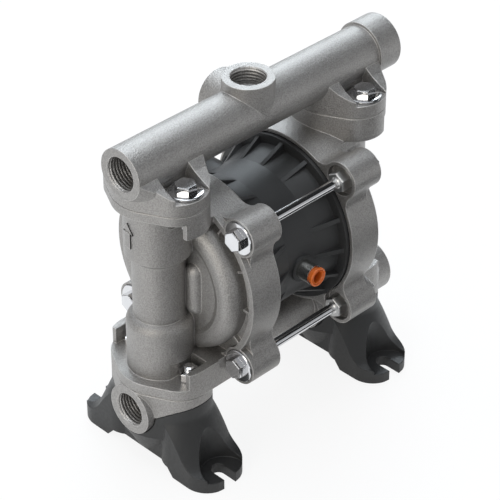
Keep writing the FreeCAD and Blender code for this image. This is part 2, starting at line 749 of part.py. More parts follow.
def hollows_of_cap():
    """Everything cut from the casting: chamber, valve bores, bolt holes and nut pockets."""
    x = S.riser_offset
    side_wall = GROOVE_IN - S.cap_wall
    chamber = spun("ChamberCut", [
        (S.cap_face, size(0)), (S.cap_face, RECESS_RADIUS), (RECESS_FLOOR, RECESS_RADIUS),
        (RECESS_FLOOR, CHAMBER_RADIUS),
        (S.crown_offset - S.crown_round - S.hub_sink, side_wall),
        (HUB_INSIDE, side_wall - S.crown_round), (HUB_INSIDE, size(0)),
    ], (0, 0, AXIS_Z))
    cuts = [
        chamber,
        block("RiserWindow", (HUB_INSIDE - S.hub_slope, -S.stop_bore, LOWER_BALL),
              (x, S.stop_bore, UPPER_SEAT - S.seat_ledge)),
        cylinder("RiserBore", S.stop_bore, UPPER_SEAT - LOW_JOINT, (x, 0, LOW_JOINT)),
        cylinder("LowerValveBore", S.valve_bore, LOWER_STOP - LOW_JOINT, (x, 0, LOW_JOINT)),
        cylinder("UpperValveBore", S.valve_bore, S.upper_seat_drop, (x, 0, UPPER_SEAT)),
    ]
    slab_low = TOP_FLANGE_LOW - S.top_slab_depth
    back = x - NUT_POCKET_BACK
    for depth, side in DEPTHS:
        y = side * S.lug_offset
        low, high = span(side, S.lug_offset - NUT_POCKET_HALF, S.lug_offset + NUT_POCKET_HALF)
        cuts += [
            cylinder(f"TopBoltHole_{depth}", BOLT_HOLE, S.top_flange_thickness,
                     (x, y, TOP_FLANGE_LOW)),
            block(f"TopNutPocket_{depth}", (back, low, slab_low),
                  (x + S.flange_radius, high, TOP_FLANGE_LOW)),
            cylinder(f"LowBoltHole_{depth}", BOLT_HOLE, S.bottom_flange_thickness,
                     (x, y, LOW_JOINT)),
            block(f"LowNutPocket_{depth}", (back, low, LOW_FLANGE_TOP),
                  (x + S.flange_radius, high, LOW_WALL_TOP)),
        ]
        for level, rise in LEVELS:
            spot = (S.cap_face, side * BOLT_OFFSET, AXIS_Z + rise * BOLT_OFFSET)
            face = (S.skirt_lip - S.spotface_depth, spot[1], spot[2])
            name = f"{depth}_{level}"
            cuts += [
                cylinder(f"CapBoltHole_{name}", BOLT_HOLE, S.skirt_lip - S.cap_face, spot, "x"),
                cylinder(f"RodPocket_{name}", S.lobe_radius - S.rod_pocket_lip,
                         S.rod_pocket_depth, spot, "x"),
                cylinder(f"Spotface_{name}", S.washer_radius + S.spotface_clearance,
                         S.spotface_depth + S.washer_thickness + S.head_height, face, "x"),
            ]
    return cuts


def fluid_caps():
    solids = [rim_of_cap(), crown_of_cap()] + lip_of_cap() + riser_of_cap()
    casting = union("CapCasting", solids)
    right = minus("CapRight", casting, hollows_of_cap())
    node("right_fluid_cap", right)
    node("left_fluid_cap", mirrored("CapLeft", right, (1, 0, 0)))


# outlet manifold

LUG_TOP = TOP_JOINT + S.outlet_lug_thickness


def web_slope(name, start, length):
    """Side view of the webs beside the bolt bays, pushed along the pipe."""
    pipe = S.pipe_radius - S.bay_depth
    half = [
        (FLANGE_END, LUG_TOP), (FLANGE_END, LUG_TOP + S.web_edge),
        (S.lug_offset + S.web_step, LUG_TOP + S.web_low),
        (S.lug_offset - S.web_step, LUG_TOP + S.web_waist),
        (pipe, LUG_TOP + S.web_top),
    ]
    other = [(-y, z) for y, z in reversed(half)]
    return prism(name, "YZ", half + other, length, (start, 0, 0))


def outlet_lug(label, sign):
    """Lug, open webs and the ring widened into the drum wall at one riser."""
    x = sign * S.riser_offset
    lug = oval(f"OutletLug_{label}", S.outlet_lug_thickness, (x, 0, TOP_JOINT))
    column = oval(f"OutletDrum_{label}", OUTLET_Z - LUG_TOP, (x, 0, LUG_TOP))
    slope = web_slope(f"OutletWebSlope_{label}", x - S.flange_radius, 2 * S.flange_radius)
    webs = common(f"OutletWebs_{label}", column, slope)
    middle = x - S.bay_shift
    bays = []
    for depth, side in DEPTHS:
        low, high = span(side, S.pipe_radius - S.bay_depth, FLANGE_END)
        bays.append(block(f"OutletBay_{label}_{depth}", (middle - S.bay_half_width, low, LUG_TOP),
                          (middle + S.bay_half_width, high, OUTLET_Z)))
    pieces = [
        bevelled(f"OutletLugEdge_{label}", lug, TOP_JOINT),
        minus(f"OutletOpenWebs_{label}", webs, bays),
        cylinder(f"BallStop_{label}", S.valve_bore - S.spigot_clearance, TOP_JOINT - UPPER_STOP,
                 (x, 0, UPPER_STOP)),
    ]
    return pieces


def outlet_chin():
    """The left port ring widens below into the drum wall."""
    flare = cone("OutletChinCone", S.pipe_radius, S.pipe_radius + S.chin_flare, S.chin_length,
                 (-S.near_end, 0, OUTLET_Z), "x")
    limit = web_slope("OutletChinLimit", -S.near_end, S.chin_length)
    floor = block("OutletChinFloor", (-S.near_end, -FLANGE_END, TOP_JOINT + S.joint_chamfer),
                  (-S.near_end + S.chin_length, FLANGE_END, LUG_TOP))
    return common("OutletChin", flare, union("OutletChinRoom", [limit, floor]))


def outlet_manifold():
    axis = OUTLET_Z
    length = S.near_end + S.far_end
    pieces = [
        cylinder("OutletPipe", S.pipe_radius, length, (-S.near_end, 0, axis), "x"),
        cylinder("OutletCollar", S.collar_radius, S.collar_length,
                 (S.far_end - S.collar_length, 0, axis), "x"),
        cylinder("OutletTopBoss", S.pipe_radius, S.top_port_rise, (0, 0, axis)),
        cylinder("OutletRearBoss", S.pipe_radius, S.rear_port_reach, (0, 0, axis), "y"),
        outlet_chin(),
    ]
    cuts = [
        cylinder("OutletPassage", S.passage_radius, length, (-S.near_end, 0, axis), "x"),
        cylinder("OutletLeftPort", S.port_radius, S.port_depth, (-S.near_end, 0, axis), "x"),
        cylinder("OutletRightPort", S.port_radius, S.port_depth, (S.far_end, 0, axis), "-x"),
        cylinder("OutletTopPort", S.port_radius, S.top_port_depth,
                 (0, 0, axis + S.top_port_rise), "-z"),
        cylinder("OutletTopPassage", S.passage_radius, S.top_port_rise, (0, 0, axis)),
        cylinder("OutletRearPort", S.port_radius, S.rear_port_depth,
                 (0, S.rear_port_reach, axis), "-y"),
        cylinder("OutletRearPassage", S.passage_radius, S.rear_port_reach, (0, 0, axis), "y"),
    ]
    slot = S.stop_slot_width / 2
    for label, sign in SIDES:
        x = sign * S.riser_offset
        pieces += outlet_lug(label, sign)
        cuts.append(cylinder(f"OutletDrop_{label}", S.stop_bore, axis - UPPER_STOP,
                             (x, 0, UPPER_STOP)))
        for number, (a, b) in enumerate(((S.valve_bore, slot), (slot, S.valve_bore))):
            cuts.append(block(f"StopSlot_{label}_{number}", (x - a, -b, UPPER_STOP),
                              (x + a, b, TOP_JOINT - S.stop_slot_top)))
        for depth, side in DEPTHS:
            cuts.append(cylinder(f"OutletBoltHole_{label}_{depth}", BOLT_HOLE,
                                 S.outlet_lug_thickness, (x, side * S.lug_offset, TOP_JOINT)))
    casting = union("OutletCasting", pieces)
    node("outlet_manifold", minus("OutletManifold", casting, cuts))


# inlet manifold

def wedge_line(gap):
    """Underside of an inlet lug as Y and Z, from the bolt edge to the port boss."""
    root_y = S.inlet_boss_radius - S.bay_depth
    return [
        (FLANGE_END, LOW_JOINT - S.wedge_edge - gap),
        (S.lug_offset + S.web_step, LOW_JOINT - S.wedge_mid - gap),
        (root_y, LOW_JOINT - S.wedge_root - gap),
    ]


def inlet_manifold():
    axis = INLET_Z
    x_low = S.riser_offset - S.flange_radius
    collar = S.riser_offset + S.flange_radius + S.foot_clearance
    runner = LOW_JOINT - S.runner_gap - S.runner_radius
    pieces = [
        cylinder("InletRunner", S.runner_radius, 2 * S.riser_offset, (-S.riser_offset, 0, runner), "x"),
        cylinder("InletCollar", S.collar_radius, S.far_end - collar, (collar, 0, axis), "x"),
        cylinder("InletFarBoss", S.inlet_boss_radius, S.far_end - x_low, (x_low, 0, axis), "x"),
        cylinder("InletNearBoss", S.inlet_boss_radius, S.near_end - x_low, (-S.near_end, 0, axis), "x"),
    ]
    cuts = [
        cylinder("InletRunnerBore", S.runner_radius - S.runner_wall, 2 * S.riser_offset,
                 (-S.riser_offset, 0, runner), "x"),
        cylinder("InletLeftPort", S.port_radius, S.port_depth, (-S.near_end, 0, axis), "x"),
        cylinder("InletRightPort", S.port_radius, S.port_depth, (S.far_end, 0, axis), "-x"),
        cylinder("InletLeftPassage", S.stop_bore, S.near_end - S.riser_offset,
                 (-S.near_end, 0, axis), "x"),
        cylinder("InletRightPassage", S.stop_bore, S.far_end - S.riser_offset,
                 (S.far_end, 0, axis), "-x"),
    ]
    half = [(FLANGE_END, LOW_JOINT)] + wedge_line(size(0)) + [(S.inlet_boss_radius - S.bay_depth, axis)]
    outline = half + [(-y, z) for y, z in reversed(half)]
    for label, sign in SIDES:
        x = sign * S.riser_offset
        column = oval(f"InletColumn_{label}", LOW_JOINT - axis, (x, 0, axis))
        bevel = bevelled(f"InletColumnEdge_{label}", column, LOW_JOINT)
        wedge = prism(f"InletWedge_{label}", "YZ", outline, 2 * S.flange_radius,
                      (x - S.flange_radius, 0, 0))
        pieces.append(common(f"InletLug_{label}", bevel, wedge))
        half_joint = S.flange_radius + S.foot_clearance
        cuts.append(block(f"InletJointFace_{label}", (x - half_joint, -FLANGE_END, LOW_JOINT),
                          (x + half_joint, FLANGE_END, LOW_JOINT + S.collar_radius)))
        cuts.append(cylinder(f"InletDrop_{label}", S.stop_bore, LOW_JOINT - axis, (x, 0, axis)))
        cuts.append(sphere(f"InletTurn_{label}", S.stop_bore, (x, 0, axis)))
        for depth, side in DEPTHS:
            cuts.append(cylinder(f"InletBoltHole_{label}_{depth}", BOLT_HOLE, LOW_JOINT - axis,
                                 (x, side * S.lug_offset, axis)))
    casting = union("InletCasting", pieces)
    node("inlet_manifold", minus("InletManifold", casting, cuts))


# feet

FOOT_SEAT = LOW_JOINT - S.foot_bolt_drop
FOOT_SHOULDER = LOW_JOINT - S.foot_shoulder_drop
FOOT_TOP = LOW_JOINT - S.wedge_edge - S.foot_clearance
TAPER_TOP = INLET_Z - S.inlet_boss_radius
FLANK_FOOT = S.foot_half_length - S.flank_inset
SLOT_END = S.foot_half_length - S.slot_inset


def foot_bell(depth, side):
    """One end of the foot: the round flange end flares down to the pad like a bell."""
    spot = (S.riser_offset, side * S.lug_centre)
    top = S.pad_edge + S.pad_rise
    reach = FLANK_FOOT - S.lug_centre
    pieces = [
        cylinder(f"BellFoot_{depth}", S.foot_half_length - S.lug_centre, S.pad_edge, (*spot, 0)),
        cone(f"BellPad_{depth}", S.foot_half_length - S.lug_centre, reach, S.pad_rise,
             (*spot, S.pad_edge)),
        cone(f"BellFlank_{depth}", reach, S.lug_radius, FOOT_SHOULDER - top, (*spot, top)),
        cylinder(f"BellEnd_{depth}", S.lug_radius, FOOT_TOP - FOOT_SHOULDER,
                 (*spot, FOOT_SHOULDER)),
    ]
    bell = union(f"Bell_{depth}", pieces)
    hollow = rounded(f"BellHollow_{depth}", bell, lambda e: is_ring(
        e, "z", reach, top), S.flank_fillet)
    return rounded(f"BellRound_{depth}", hollow, lambda e: is_ring(
        e, "z", S.lug_radius, FOOT_SHOULDER), S.shoulder_fillet)


def pad_plan(depth, side):
    """Round cornered outline that limits one end of the foot."""
    x = S.riser_offset
    run = S.pad_half_width - S.pad_round
    first = S.pad_start + S.pad_round
    last = S.foot_half_length - S.pad_round
    low, high = span(side, first, last)
    pieces = [block(f"PadSides_{depth}", (x - S.pad_half_width, low, 0),
                    (x + S.pad_half_width, high, FOOT_TOP))]
    low, high = span(side, S.pad_start, S.foot_half_length)
    pieces.append(block(f"PadLength_{depth}", (x - run, low, 0), (x + run, high, FOOT_TOP)))
    for label, sign in SIDES:
        for end, y in (("in", first), ("out", last)):
            pieces.append(cylinder(f"PadCorner_{depth}_{label}_{end}", S.pad_round, FOOT_TOP,
                                   (x + sign * run, side * y, 0)))
    return union(f"PadPlan_{depth}", pieces)


def foot_casting():
    x = S.riser_offset
    ends = [common(f"FootEnd_{depth}", foot_bell(depth, side), pad_plan(depth, side))
            for depth, side in DEPTHS]
    middle = [
        oval("FootTower", FOOT_TOP - TAPER_TOP, (x, 0, TAPER_TOP)),
        cone("FootTaper", S.foot_waist, S.flange_radius, TAPER_TOP - S.arch_height,
             (x, 0, S.arch_height)),
        block("FootWaist", (x - S.foot_waist, -FLANGE_END, 0),
              (x + S.foot_waist, FLANGE_END, S.foot_waist_height)),
    ]
    top = [(S.foot_half_length, size(0)), (S.foot_half_length, FOOT_TOP)] + wedge_line(S.foot_clearance)
    limit = prism("FootTopView", "YZ", top + [(-y, z) for y, z in reversed(top)],
                  2 * S.flange_radius, (x - S.flange_radius, 0, 0))
    return common("FootOutline", union("FootSolids", ends + middle), limit)


def feet():
    x = S.riser_offset
    start = x - S.flange_radius
    boss = S.inlet_boss_radius + S.foot_clearance
    casting = foot_casting()
    arch_end = S.arch_half_length - S.arch_slope
    cuts = [
        prism("FootArch", "YZ", [
            (-S.arch_half_length, size(0)), (-arch_end, S.arch_height), (arch_end, S.arch_height),
            (S.arch_half_length, size(0)),
        ], 2 * S.flange_radius, (start, 0, 0)),
        cylinder("FootSaddle", boss, 2 * S.flange_radius, (start, 0, INLET_Z), "x"),
        block("FootSaddleMouth", (start, -boss, INLET_Z), (x + S.flange_radius, boss, LOW_JOINT)),
    ]
    for depth, side in DEPTHS:
        y = side * S.lug_offset
        slot = side * SLOT_END
        recess = side * (SLOT_END + S.pad_recess_shift)
        low, high = span(side, SLOT_END, S.foot_half_length)
        cuts += [
            cylinder(f"FootBoltHole_{depth}", BOLT_HOLE, LOW_JOINT, (x, y, 0)),
            cylinder(f"FootPocket_{depth}", S.washer_radius + S.foot_pocket_clearance, FOOT_SEAT,
                     (x, y, 0)),
            cylinder(f"SlotEnd_{depth}", S.slot_radius, FOOT_SEAT, (x, slot, 0)),
            block(f"SlotMouth_{depth}", (x - S.slot_radius, low, 0),
                  (x + S.slot_radius, high, FOOT_SEAT)),
            cylinder(f"SlotRecess_{depth}", S.pad_recess_radius, LOW_JOINT,
                     (x, recess, S.recess_floor)),
        ]
    right = minus("FootRight", casting, cuts)
    node("right_foot", right)
    node("left_foot", mirrored("FootLeft", right, (1, 0, 0)))


# centre housing

SPOOL_Z = AXIS_Z + S.spool_axis_rise
PILOT_Z = AXIS_Z - S.pilot_axis_drop
EXHAUST_Z = AXIS_Z - S.exhaust_drop
AIR_INLET_Z = AXIS_Z - S.air_inlet_drop
AIR_FLOOR = S.housing_half_length - S.air_chamber_depth


def ribbed_housing():
    """Moulded drum: spun profile with end flanges and tapered ribs round both ends."""
    body = DOC.addObject("PartDesign::Body", "HousingDrum")
    plane = [f for f in body.Origin.OriginFeatures if f.Role == "XZ_Plane"][0]
    x_axis = [f for f in body.Origin.OriginFeatures if f.Role == "X_Axis"][0]
    sketch = body.newObject("Sketcher::SketchObject", "DrumProfile")
    sketch.AttachmentSupport = (plane, [""])
    sketch.MapMode = "FlatFace"
    end = S.housing_half_length
    flange = end - S.housing_flange_thickness
    half = [
        (flange - S.housing_rib_length, WAIST_RADIUS), (flange, WAIST_RADIUS + S.waist_slope),
        (flange, SEALED_RADIUS), (end, SEALED_RADIUS),
        (end, CHAMBER_RADIUS), (AIR_FLOOR, S.air_floor_radius), (AIR_FLOOR, size(0)),
    ]
    other = [(-x, r) for x, r in reversed(half)]
    polygon(sketch, half + other)
    drum = body.newObject("PartDesign::Revolution", "Drum")
    drum.Profile = sketch
    drum.ReferenceAxis = (x_axis, [""])
    drum.Angle = 360
    DOC.recompute()
    for label, sign in SIDES:
        rib = body.newObject("Sketcher::SketchObject", f"RibSide_{label}")
        rib.AttachmentSupport = (plane, [""])
        rib.MapMode = "FlatFace"
        foot = WAIST_RADIUS - S.housing_rib_bite
        root_x = flange + S.housing_flange_thickness / 2
        polygon(rib, [
            (sign * root_x, foot), (sign * root_x, SEALED_RADIUS - S.housing_rib_sink),
            (sign * (flange - S.housing_rib_length), WAIST_RADIUS),
            (sign * (flange - S.housing_rib_length), foot),
        ])
        pad = body.newObject("PartDesign::Pad", f"Rib_{label}")
        pad.Profile = rib
        pad.Midplane = True
        bind(pad, "Length", S.housing_rib_width)
        DOC.recompute()
        pattern = body.newObject("PartDesign::PolarPattern", f"Ribs_{label}")
        pattern.Originals = [pad]
        pattern.Axis = (x_axis, [""])
        pattern.Angle = 360
        bind(pattern, "Occurrences", S.housing_rib_count)
        body.Tip = pattern
        DOC.recompute()
    bind(body, "Placement.Base.z", AXIS_Z)
    return body


def centre_housing():
    end = S.housing_half_length
    air_front = WAIST_RADIUS + S.air_boss_rise
    exhaust_face = WAIST_RADIUS + S.exhaust_boss_rise
    bore_front = S.sleeve_front - S.sleeve_wall
    pieces = [
        ribbed_housing(),
        cylinder("ValveBoss", S.valve_boss_radius, S.valve_boss_reach, (0, 0, SPOOL_Z), "y"),
        cylinder("ExhaustBoss", S.exhaust_boss_radius, exhaust_face, (0, 0, EXHAUST_Z), "y"),
        cylinder("AirBoss", S.air_boss_radius, air_front, (0, 0, AIR_INLET_Z), "-y"),
    ]
    cuts = [
        cylinder("ShaftWay", S.shaft_radius + S.shaft_way_clearance, 2 * end, (-end, 0, AXIS_Z), "x"),
        cylinder("PilotWay", S.pilot_radius + S.running_clearance, 2 * end, (-end, 0, PILOT_Z), "x"),
        cylinder("ValveBore", S.sleeve_radius + S.seat_clearance, S.sleeve_front + S.valve_boss_reach,
                 (0, -S.sleeve_front, SPOOL_Z), "y"),
        cylinder("ExhaustThread", S.exhaust_thread_radius + S.thread_clearance, S.fitting_depth,
                 (0, exhaust_face, EXHAUST_Z), "-y"),
        cylinder("ExhaustWay", S.exhaust_way_radius, exhaust_face, (0, 0, EXHAUST_Z), "y"),
        cylinder("AirThread", S.fitting_thread_radius + S.thread_clearance, S.fitting_depth,
                 (0, -air_front, AIR_INLET_Z), "y"),
        cylinder("AirWay", S.air_way_radius, SPOOL_Z - AIR_INLET_Z, (0, -bore_front, AIR_INLET_Z)),
        cylinder("AirCross", S.air_way_radius, air_front - bore_front, (0, -air_front, AIR_INLET_Z), "y"),
    ]
    for label, sign in SIDES:
        bush = cylinder(f"BushSeat_{label}", S.bush_radius + S.seat_clearance, S.bush_length,
                        (sign * AIR_FLOOR, 0, AXIS_Z), "-x" if sign > 0 else "x")
        cuts.append(bush)
    casting = union("HousingCasting", pieces)
    node("centre_housing", minus("CentreHousing", casting, cuts))
    for label, sign in SIDES:
        base = (sign * AIR_FLOOR, 0, AXIS_Z)
        axis = "-x" if sign > 0 else "x"
        outside = cylinder(f"BushBody_{label}", S.bush_radius, S.bush_length, base, axis)
        inside = cylinder(f"BushBore_{label}", S.shaft_radius + S.running_clearance,
                          S.bush_length, base, axis)
        node(f"{label}_shaft_bush", minus(f"Bush_{label}", outside, [inside]))


# shaft, plates and diaphragms

DIAPHRAGM_IN = S.housing_half_length


def shaft_and_plates():
    plate_in = DIAPHRAGM_IN - S.inner_plate_thickness
    membrane_out = DIAPHRAGM_IN + S.diaphragm_thickness
    pieces = [cylinder("ShaftBar", S.shaft_radius, 2 * plate_in, (-plate_in, 0, AXIS_Z), "x")]
    stud_end = membrane_out + S.stud_reach
    pieces.append(cylinder("ShaftStuds", S.stud_radius, 2 * stud_end, (-stud_end, 0, AXIS_Z), "x"))
    node("diaphragm_shaft", union("Shaft", pieces))
    hole = S.stud_radius + S.thread_clearance
    for label, sign in SIDES:
        axis = "x" if sign > 0 else "-x"
        inner = cone(f"InnerPlateBody_{label}", S.inner_plate_radius - S.inner_plate_bevel,
                     S.inner_plate_radius, S.inner_plate_thickness, (sign * plate_in, 0, AXIS_Z), axis)
        inner_hole = cylinder(f"InnerPlateHole_{label}", hole, S.inner_plate_thickness,
                              (sign * plate_in, 0, AXIS_Z), axis)
        node(f"{label}_inner_plate", minus(f"InnerPlate_{label}", inner, [inner_hole]))
        outer = cone(f"OuterPlateBody_{label}", S.outer_plate_radius,
                     S.outer_plate_radius - S.outer_plate_bevel, S.outer_plate_thickness,
                     (sign * membrane_out, 0, AXIS_Z), axis)
        outer_hole = cylinder(f"OuterPlateHole_{label}", hole, S.stud_reach + S.thread_clearance,
                              (sign * membrane_out, 0, AXIS_Z), axis)
        node(f"{label}_outer_plate", minus(f"OuterPlate_{label}", outer, [outer_hole]))
        node(f"{label}_diaphragm", diaphragm(label, sign, hole))


def diaphragm(label, sign, hole):
    """Rubber disc with a clamped rim, a rolled fold and a flat middle."""
    low = DIAPHRAGM_IN
    high = DIAPHRAGM_IN + S.diaphragm_thickness
    fold_in = S.inner_plate_radius + S.fold_gap
    fold_out = CHAMBER_RADIUS - S.fold_margin
    middle = (fold_in + fold_out) / 2
    top = S.fold_top_width / 2
    hollow = top / 2
    corners = [
        (sign * low, hole), (sign * high, hole), (sign * high, fold_in),
        (sign * (high + S.fold_height), middle - top), (sign * (high + S.fold_height), middle + top),
        (sign * high, fold_out), (sign * high, SEALED_RADIUS),
        (sign * low, SEALED_RADIUS), (sign * low, fold_out),
        (sign * (low + S.fold_height), middle + hollow), (sign * (low + S.fold_height), middle - hollow),
        (sign * low, fold_in),
    ]
    return spun(f"Diaphragm_{label}", corners, (0, 0, AXIS_Z))


# air valve

def air_valve():
    start = -S.sleeve_front
    length = S.sleeve_front + S.valve_boss_reach - S.end_cap_plug
    sleeve = cylinder("SleeveBody", S.sleeve_radius, length, (0, start, SPOOL_Z), "y")
    bore = S.spool_radius + S.running_clearance
    cuts = [cylinder("SleeveBore", bore, length - S.sleeve_wall,
                     (0, start + S.sleeve_wall, SPOOL_Z), "y")]
    for i in range(3):
        y = start + S.sleeve_wall + (i + 1) * (length - S.sleeve_wall) / 4
        cuts.append(cylinder(f"SleevePort{i}", S.sleeve_port_radius, 2 * S.sleeve_radius,
                             (0, y, SPOOL_Z - S.sleeve_radius)))
    node("valve_sleeve", minus("Sleeve", sleeve, cuts))
    spool_start = start + S.sleeve_wall + S.spool_gap
    pieces = [cylinder("SpoolCore", S.spool_waist, S.spool_length, (0, spool_start, SPOOL_Z), "y")]
    pitch = (S.spool_length - S.land_length) / 3
    for i in range(4):
        pieces.append(cylinder(f"SpoolLand{i}", S.spool_radius, S.land_length,
                               (0, spool_start + i * pitch, SPOOL_Z), "y"))
    node("valve_spool", union("Spool", pieces))
    face = S.valve_boss_reach
    cap = union("EndCapBody", [
        cylinder("EndCapFlange", S.end_cap_radius, S.end_cap_thickness, (0, face, SPOOL_Z), "y"),
        cylinder("EndCapPlug", S.sleeve_radius, S.end_cap_plug, (0, face - S.end_cap_plug, SPOOL_Z), "y"),
    ])
    socket = hexagon("EndCapSocket", S.end_cap_socket, S.end_cap_thickness - S.end_cap_floor,
                     (0, face + S.end_cap_floor, SPOOL_Z), "y")
    node("valve_end_cap", minus("EndCap", cap, [socket]))
    reach = AIR_FLOOR + S.pilot_reach
    node("pilot_rod", cylinder("Pilot", S.pilot_radius, 2 * reach, (-reach, 0, PILOT_Z), "x"))


# air inlet fitting, collet and muffler

def air_fittings():
    z = AIR_INLET_Z
    front = -S.fitting_reach
    seat = -(WAIST_RADIUS + S.air_boss_rise)
    body = union("FittingBody", [
        cylinder("FittingBarrel", S.fitting_radius, seat - front, (0, front, z), "y"),
        cylinder("FittingThread", S.fitting_thread_radius, S.fitting_depth, (0, seat, z), "y"),
    ])
    pressed = S.collet_length + S.collet_travel
    cuts = [
        cylinder("FittingBore", S.collet_body_radius + S.running_clearance, pressed + S.collet_room,
                 (0, front, z), "y"),
        cylinder("FittingWay", S.tube_radius - S.tube_stop, seat + S.fitting_depth - front,
                 (0, front, z), "y"),
    ]
    node("air_inlet_fitting", minus("Fitting", body, cuts))
    ring_back = front - S.collet_travel - S.collet_gap
    ring_front = ring_back - S.collet_ring_length
    sleeve = pressed + S.collet_gap
    collet = union("ColletBody", [
        cylinder("ColletRing", S.collet_ring_radius, S.collet_ring_length, (0, ring_front, z), "y"),
        cylinder("ColletSleeve", S.collet_body_radius, sleeve, (0, ring_back, z), "y"),
    ])
    tube = cylinder("ColletBore", S.tube_radius + S.collet_clearance, sleeve + S.collet_ring_length,
                    (0, ring_front, z), "y")
    node("release_collet", minus("Collet", collet, [tube]))


def muffler():
    base = WAIST_RADIUS + S.exhaust_boss_rise
    z = EXHAUST_Z
    body = union("MufflerBody", [
        cylinder("MufflerThread", S.exhaust_thread_radius, S.fitting_depth, (0, base, z), "-y"),
        hexagon("MufflerHex", S.exhaust_hex, S.exhaust_hex_length, (0, base, z), "y"),
        cylinder("MufflerBarrel", S.exhaust_radius, S.exhaust_length, (0, base, z), "y"),
    ])
    hollow = cylinder("MufflerHollow", S.exhaust_way_radius,
                      S.fitting_depth + S.exhaust_length - S.exhaust_wall,
                      (0, base - S.fitting_depth, z), "y")
    chamber_start = base + S.exhaust_hex_length
    chamber = cylinder("MufflerChamber", S.exhaust_radius - S.exhaust_wall,
                       S.exhaust_length - S.exhaust_hex_length - S.exhaust_wall,
                       (0, chamber_start, z), "y")
    slits = []
    count = int(S.exhaust_slit_count.number)
    half = S.exhaust_slit_width / 2
    slit_length = S.exhaust_length - S.exhaust_hex_length - 2 * S.exhaust_slit_margin
    for i in range(count // 2):
        slit = box(f"MufflerSlit{i}", (2 * S.exhaust_radius, slit_length, S.exhaust_slit_width),
                   (0, 0, 0))
        turn = Rotation(Vector(0, 1, 0), 360 * i / count)
        along = turn.multVec(Vector(1, 0, 0))
        lift = turn.multVec(Vector(0, 0, 1))
        slit.Placement = Placement(Vector(), turn)
        bind(slit, "Placement.Base.x", -S.exhaust_radius * along.x - half * lift.x)
        bind(slit, "Placement.Base.y", chamber_start + S.exhaust_slit_margin)
        bind(slit, "Placement.Base.z", z - S.exhaust_radius * along.z - half * lift.z)
        slits.append(slit)
    node("exhaust_muffler", minus("Muffler", body, [hollow, chamber] + slits))


# check valves

def check_valves():
    for label, sign in SIDES:
        x = sign * S.riser_offset
        for level, base, ball in (("inlet", LOW_JOINT, LOWER_BALL), ("outlet", UPPER_SEAT, UPPER_BALL)):
            name = f"{label}_{level}"
            ring = cylinder(f"SeatBody_{name}", S.valve_bore - S.seat_clearance, S.seat_height,
                            (x, 0, base))
            hole = cylinder(f"SeatBore_{name}", S.seat_bore, S.seat_height, (x, 0, base))
            flare = cone(f"SeatFlare_{name}", S.seat_bore + S.seat_flare, S.seat_bore, S.seat_flare,
                         (x, 0, base))
            node(f"{name}_seat", minus(f"Seat_{name}", ring, [hole, flare]))
            node(f"{name}_ball", sphere(f"Ball_{name}", S.ball_radius, (x, 0, ball)))


# fasteners

def hex_bolt(name, length, at, axis):
    """Hex bolt with a captive washer; the point given is under the washer."""
    direction = TURN[axis].multVec(Vector(0, 0, 1))
    x, y, z = at
    top = tuple(size(v) + S.washer_thickness * d for v, d in
                zip((x, y, z), (direction.x, direction.y, direction.z)))
    back = {"x": "-x", "-x": "x", "z": "-z", "-z": "z"}[axis]
    return union(name, [
        cylinder(f"{name}_washer", S.washer_radius, S.washer_thickness, at, axis),
        hexagon(f"{name}_head", S.hex_flats, S.head_height, top, axis),
        cylinder(f"{name}_shank", S.thread_radius, length, at, back),
    ])


def hex_nut(name, at):
    body = hexagon(f"{name}_hex", S.hex_flats, S.nut_height, at)
    hole = cylinder(f"{name}_thread", S.thread_radius + S.thread_clearance, S.nut_height, at)
    return minus(name, body, [hole])


def fasteners():
    rod_end = S.cap_face + S.rod_pocket_depth
    hex_start = rod_end - S.rod_hex_length
    seat = S.skirt_lip - S.spotface_depth
    tapped = S.thread_radius + S.thread_clearance
    tap_end = hex_start + S.rod_tap_floor
    bolt_length = seat - tap_end - S.tap_runout
    for depth, side in DEPTHS:
        for level, rise in LEVELS:
            y = side * BOLT_OFFSET
            z = AXIS_Z + rise * BOLT_OFFSET
            name = f"{depth}_{level}"
            pieces = [cylinder(f"RodBar_{name}", S.rod_radius, 2 * rod_end, (-rod_end, y, z), "x")]
            holes = []
            for label, sign in SIDES:
                axis = "x" if sign > 0 else "-x"
                start = (sign * hex_start, y, z)
                pieces.append(hexagon(f"RodHex_{name}_{label}", S.hex_flats, S.rod_hex_length,
                                      start, axis))
                holes.append(cylinder(f"RodTap_{name}_{label}", tapped, rod_end - tap_end,
                                      (sign * tap_end, y, z), axis))
                node(f"{label}_cap_bolt_{name}", hex_bolt(f"CapBolt_{label}_{name}",
                     bolt_length, (sign * seat, y, z), axis))
            rod = union(f"RodBody_{name}", pieces)
            node(f"tie_rod_{name}", minus(f"Rod_{name}", rod, holes))
    nut_seat = TOP_FLANGE_LOW - S.nut_height
    outlet_length = LUG_TOP - nut_seat + S.bolt_stick_out
    inlet_length = LOW_FLANGE_TOP + S.nut_height + S.bolt_stick_out - FOOT_SEAT
    for label, sign in SIDES:
        for depth, side in DEPTHS:
            x = sign * S.riser_offset
            y = side * S.lug_offset
            name = f"{label}_{depth}"
            node(f"outlet_bolt_{name}", hex_bolt(f"OutletBolt_{name}", outlet_length,
                 (x, y, LUG_TOP), "z"))
            node(f"outlet_nut_{name}", hex_nut(f"OutletNut_{name}", (x, y, nut_seat)))
            node(f"inlet_bolt_{name}", hex_bolt(f"InletBolt_{name}", inlet_length,
                 (x, y, FOOT_SEAT), "-z"))
            node(f"inlet_nut_{name}", hex_nut(f"InletNut_{name}", (x, y, LOW_FLANGE_TOP)))


